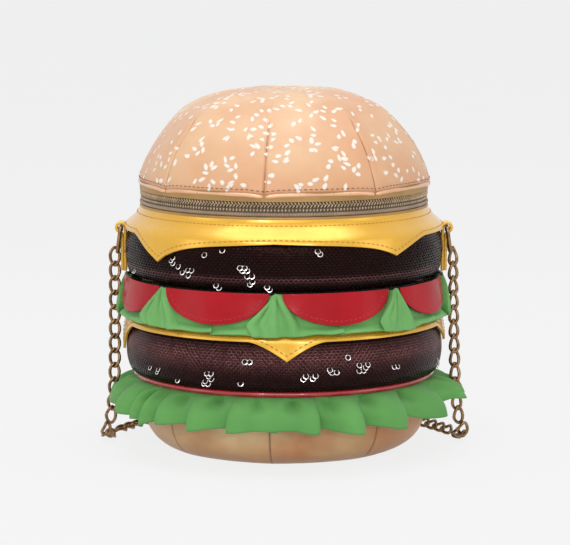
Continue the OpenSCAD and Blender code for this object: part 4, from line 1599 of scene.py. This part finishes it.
def toothRow(side):
    # side is 1 for the lid's row and -1 for the bag's
    return zipRow(0.25 if side > 0 else 0.75, zipParts["slant"] * side, zipParts["reach"],
                  zipParts["meet"] + side * zipParts["apart"], zipParts["tooth"])


def dotRow():
    return zipRow(0.5, zipParts["dotTurn"], zipParts["reach"] - zipParts["dotIn"], zipParts["dotHeight"],
                  zipParts["dot"])


addTape("zip_tape_low", lowerTape, "bag_body", ["zip_tape_lower"])
addTape("zip_tape_high", upperTape, "lid", ["zip_tape_upper"])
addTape("zip_ridge", tapeRidge, "bag_body", finish="ridge")
addTape("zip_binding", rimBinding, "bag_body", finish="goldSkin")
makePiece("zip_coil_low", copies(bead(8, 6), toothRow(-1) + dotRow()), [skins["coil"]], "bag_body",
          ["zip_teeth_lower"])
makePiece("zip_coil_high", copies(bead(8, 6), toothRow(1)), [skins["coil"]], "lid",
          ["zip_teeth_upper"])
print("zip made")


# Side tabs: a folded leather strap round each ring

sideTab = {
    "width": 7.6,
    "inner": 87.8,
    "outer": 89.35,
    "tail": 98.3,
    "loop": (90.2, 122.5),
    "loopReach": 2.55,
    "skin": 1.6,
    "stitchOut": 2.7,  # half the distance between the two rows of stitches
}


def tabLine():
    x, z = sideTab["loop"]
    points = [(sideTab["inner"], sideTab["tail"], 0), (sideTab["inner"], z - 3.2, 0)]
    for i in range(17):
        a = math.radians(192 - 15 * i)
        points.append((x + sideTab["loopReach"] * math.cos(a), z + sideTab["loopReach"] * math.sin(a), 0))
    points += [(sideTab["outer"] + 0.9, z - 3.0, 0), (sideTab["outer"] + 0.2, z - 4.6, 0),
               (sideTab["outer"], z - 6.5, 0), (sideTab["outer"], sideTab["tail"] + 0.3, 0)]
    return alongLine(points)


def addTab(side, name):
    at, total = tabLine()
    bm = bmesh.new()
    bmesh.ops.create_grid(bm, x_segments=72, y_segments=8, size=0.5, calc_uvs=True)
    for v in bm.verts:
        on = at(v.co.x + 0.5)
        y = v.co.y * sideTab["width"]
        v.co = Vector((side * on.x, y, on.y))
    bmesh.ops.recalc_face_normals(bm, faces=bm.faces)
    strap = makePiece(f"side_tab_strap_{name}", bm, [skins["cheeseSkin"]], "bag_body",
                      [f"side_tab_{name}"])
    thicken(strap, sideTab["skin"], offset=0, edge=0.3)
    places = []
    proud = sideTab["outer"] + sideTab["skin"] / 2 + 0.02
    for y in (-sideTab["stitchOut"], sideTab["stitchOut"]):
        places += stitchRow(lambda t: (Vector((side * proud, y, t)), Vector((side, 0, 0))),
                            sideTab["tail"] + 1.6, sideTab["loop"][1] - 6, 2.7, (0.95, 0.26, 0.22))
    places += stitchRow(lambda t: (Vector((side * proud, t, sideTab["tail"] + 1.8)), Vector((side, 0, 0))),
                        -2.4, 2.4, 2.4, (0.9, 0.26, 0.22))
    makePiece(f"side_tab_stitches_{name}", copies(bead(), places), [skins["thread"]], "bag_body")


addTab(-1, "left")
addTab(1, "right")
print("side tabs made")


# Leather hinge at the back

hinge = {
    "half": 26.0,
    "reach": 79.95,
    "low": 134.9,
    "high": 147.0,
    "skin": 1.0,
}


def addHinge():
    def shape(az, s):
        bow = 0.35 * math.sin(math.pi * s)
        return spot(az, hinge["reach"] + bow + 0.15 * wobble(az, s * 12, 9, 51),
                    hinge["low"] + (hinge["high"] - hinge["low"]) * s)

    bm = ringSheet(90, 14, shape, start=180 - hinge["half"], sweep=2 * hinge["half"], uvRadius=80,
                   uvHeight=12)
    panel = makePiece("hinge_leather", bm, [skins["goldSkin"]], None, ["hinge_panel"])
    thicken(panel, hinge["skin"], edge=0.25)
    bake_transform(panel)
    for body, z in (("bag_body", hinge["low"] + 1.0), ("lid", hinge["high"] - 0.9)):
        places = stitchRow(lambda az: (spot(az, hinge["reach"] + 0.12, z), spot(az, 1, 0)),
                           180 - hinge["half"] + 1.5, 180 + hinge["half"] - 1.5, 2.7, (0.95, 0.26, 0.22))
        makePiece(f"hinge_stitches_{body}", copies(bead(), places), [skins["thread"]], body)


addHinge()
print("hinge made")


# Solids that are seen as they are in the frame

plain = {
    "lid_lining": "liningCloth",
    "lid_band": "goldSkin",
    "core_wall": "board",
    "body_lining": "liningCloth",
    "body_rim": "goldSkin",
    "red_piping": "pipingSkin",
    "zip_end_stops": "coil",
    "zip_slider": "coil",
    "zip_puller": "coil",
    "strap_ring_left": "brass",
    "strap_ring_right": "brass",
}

for node, skin in plain.items():
    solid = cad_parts[node]
    solid.data.materials.clear()
    solid.data.materials.append(skins[skin])
    if not solid.data.uv_layers:
        solid.data.uv_layers.new(name="UVMap")
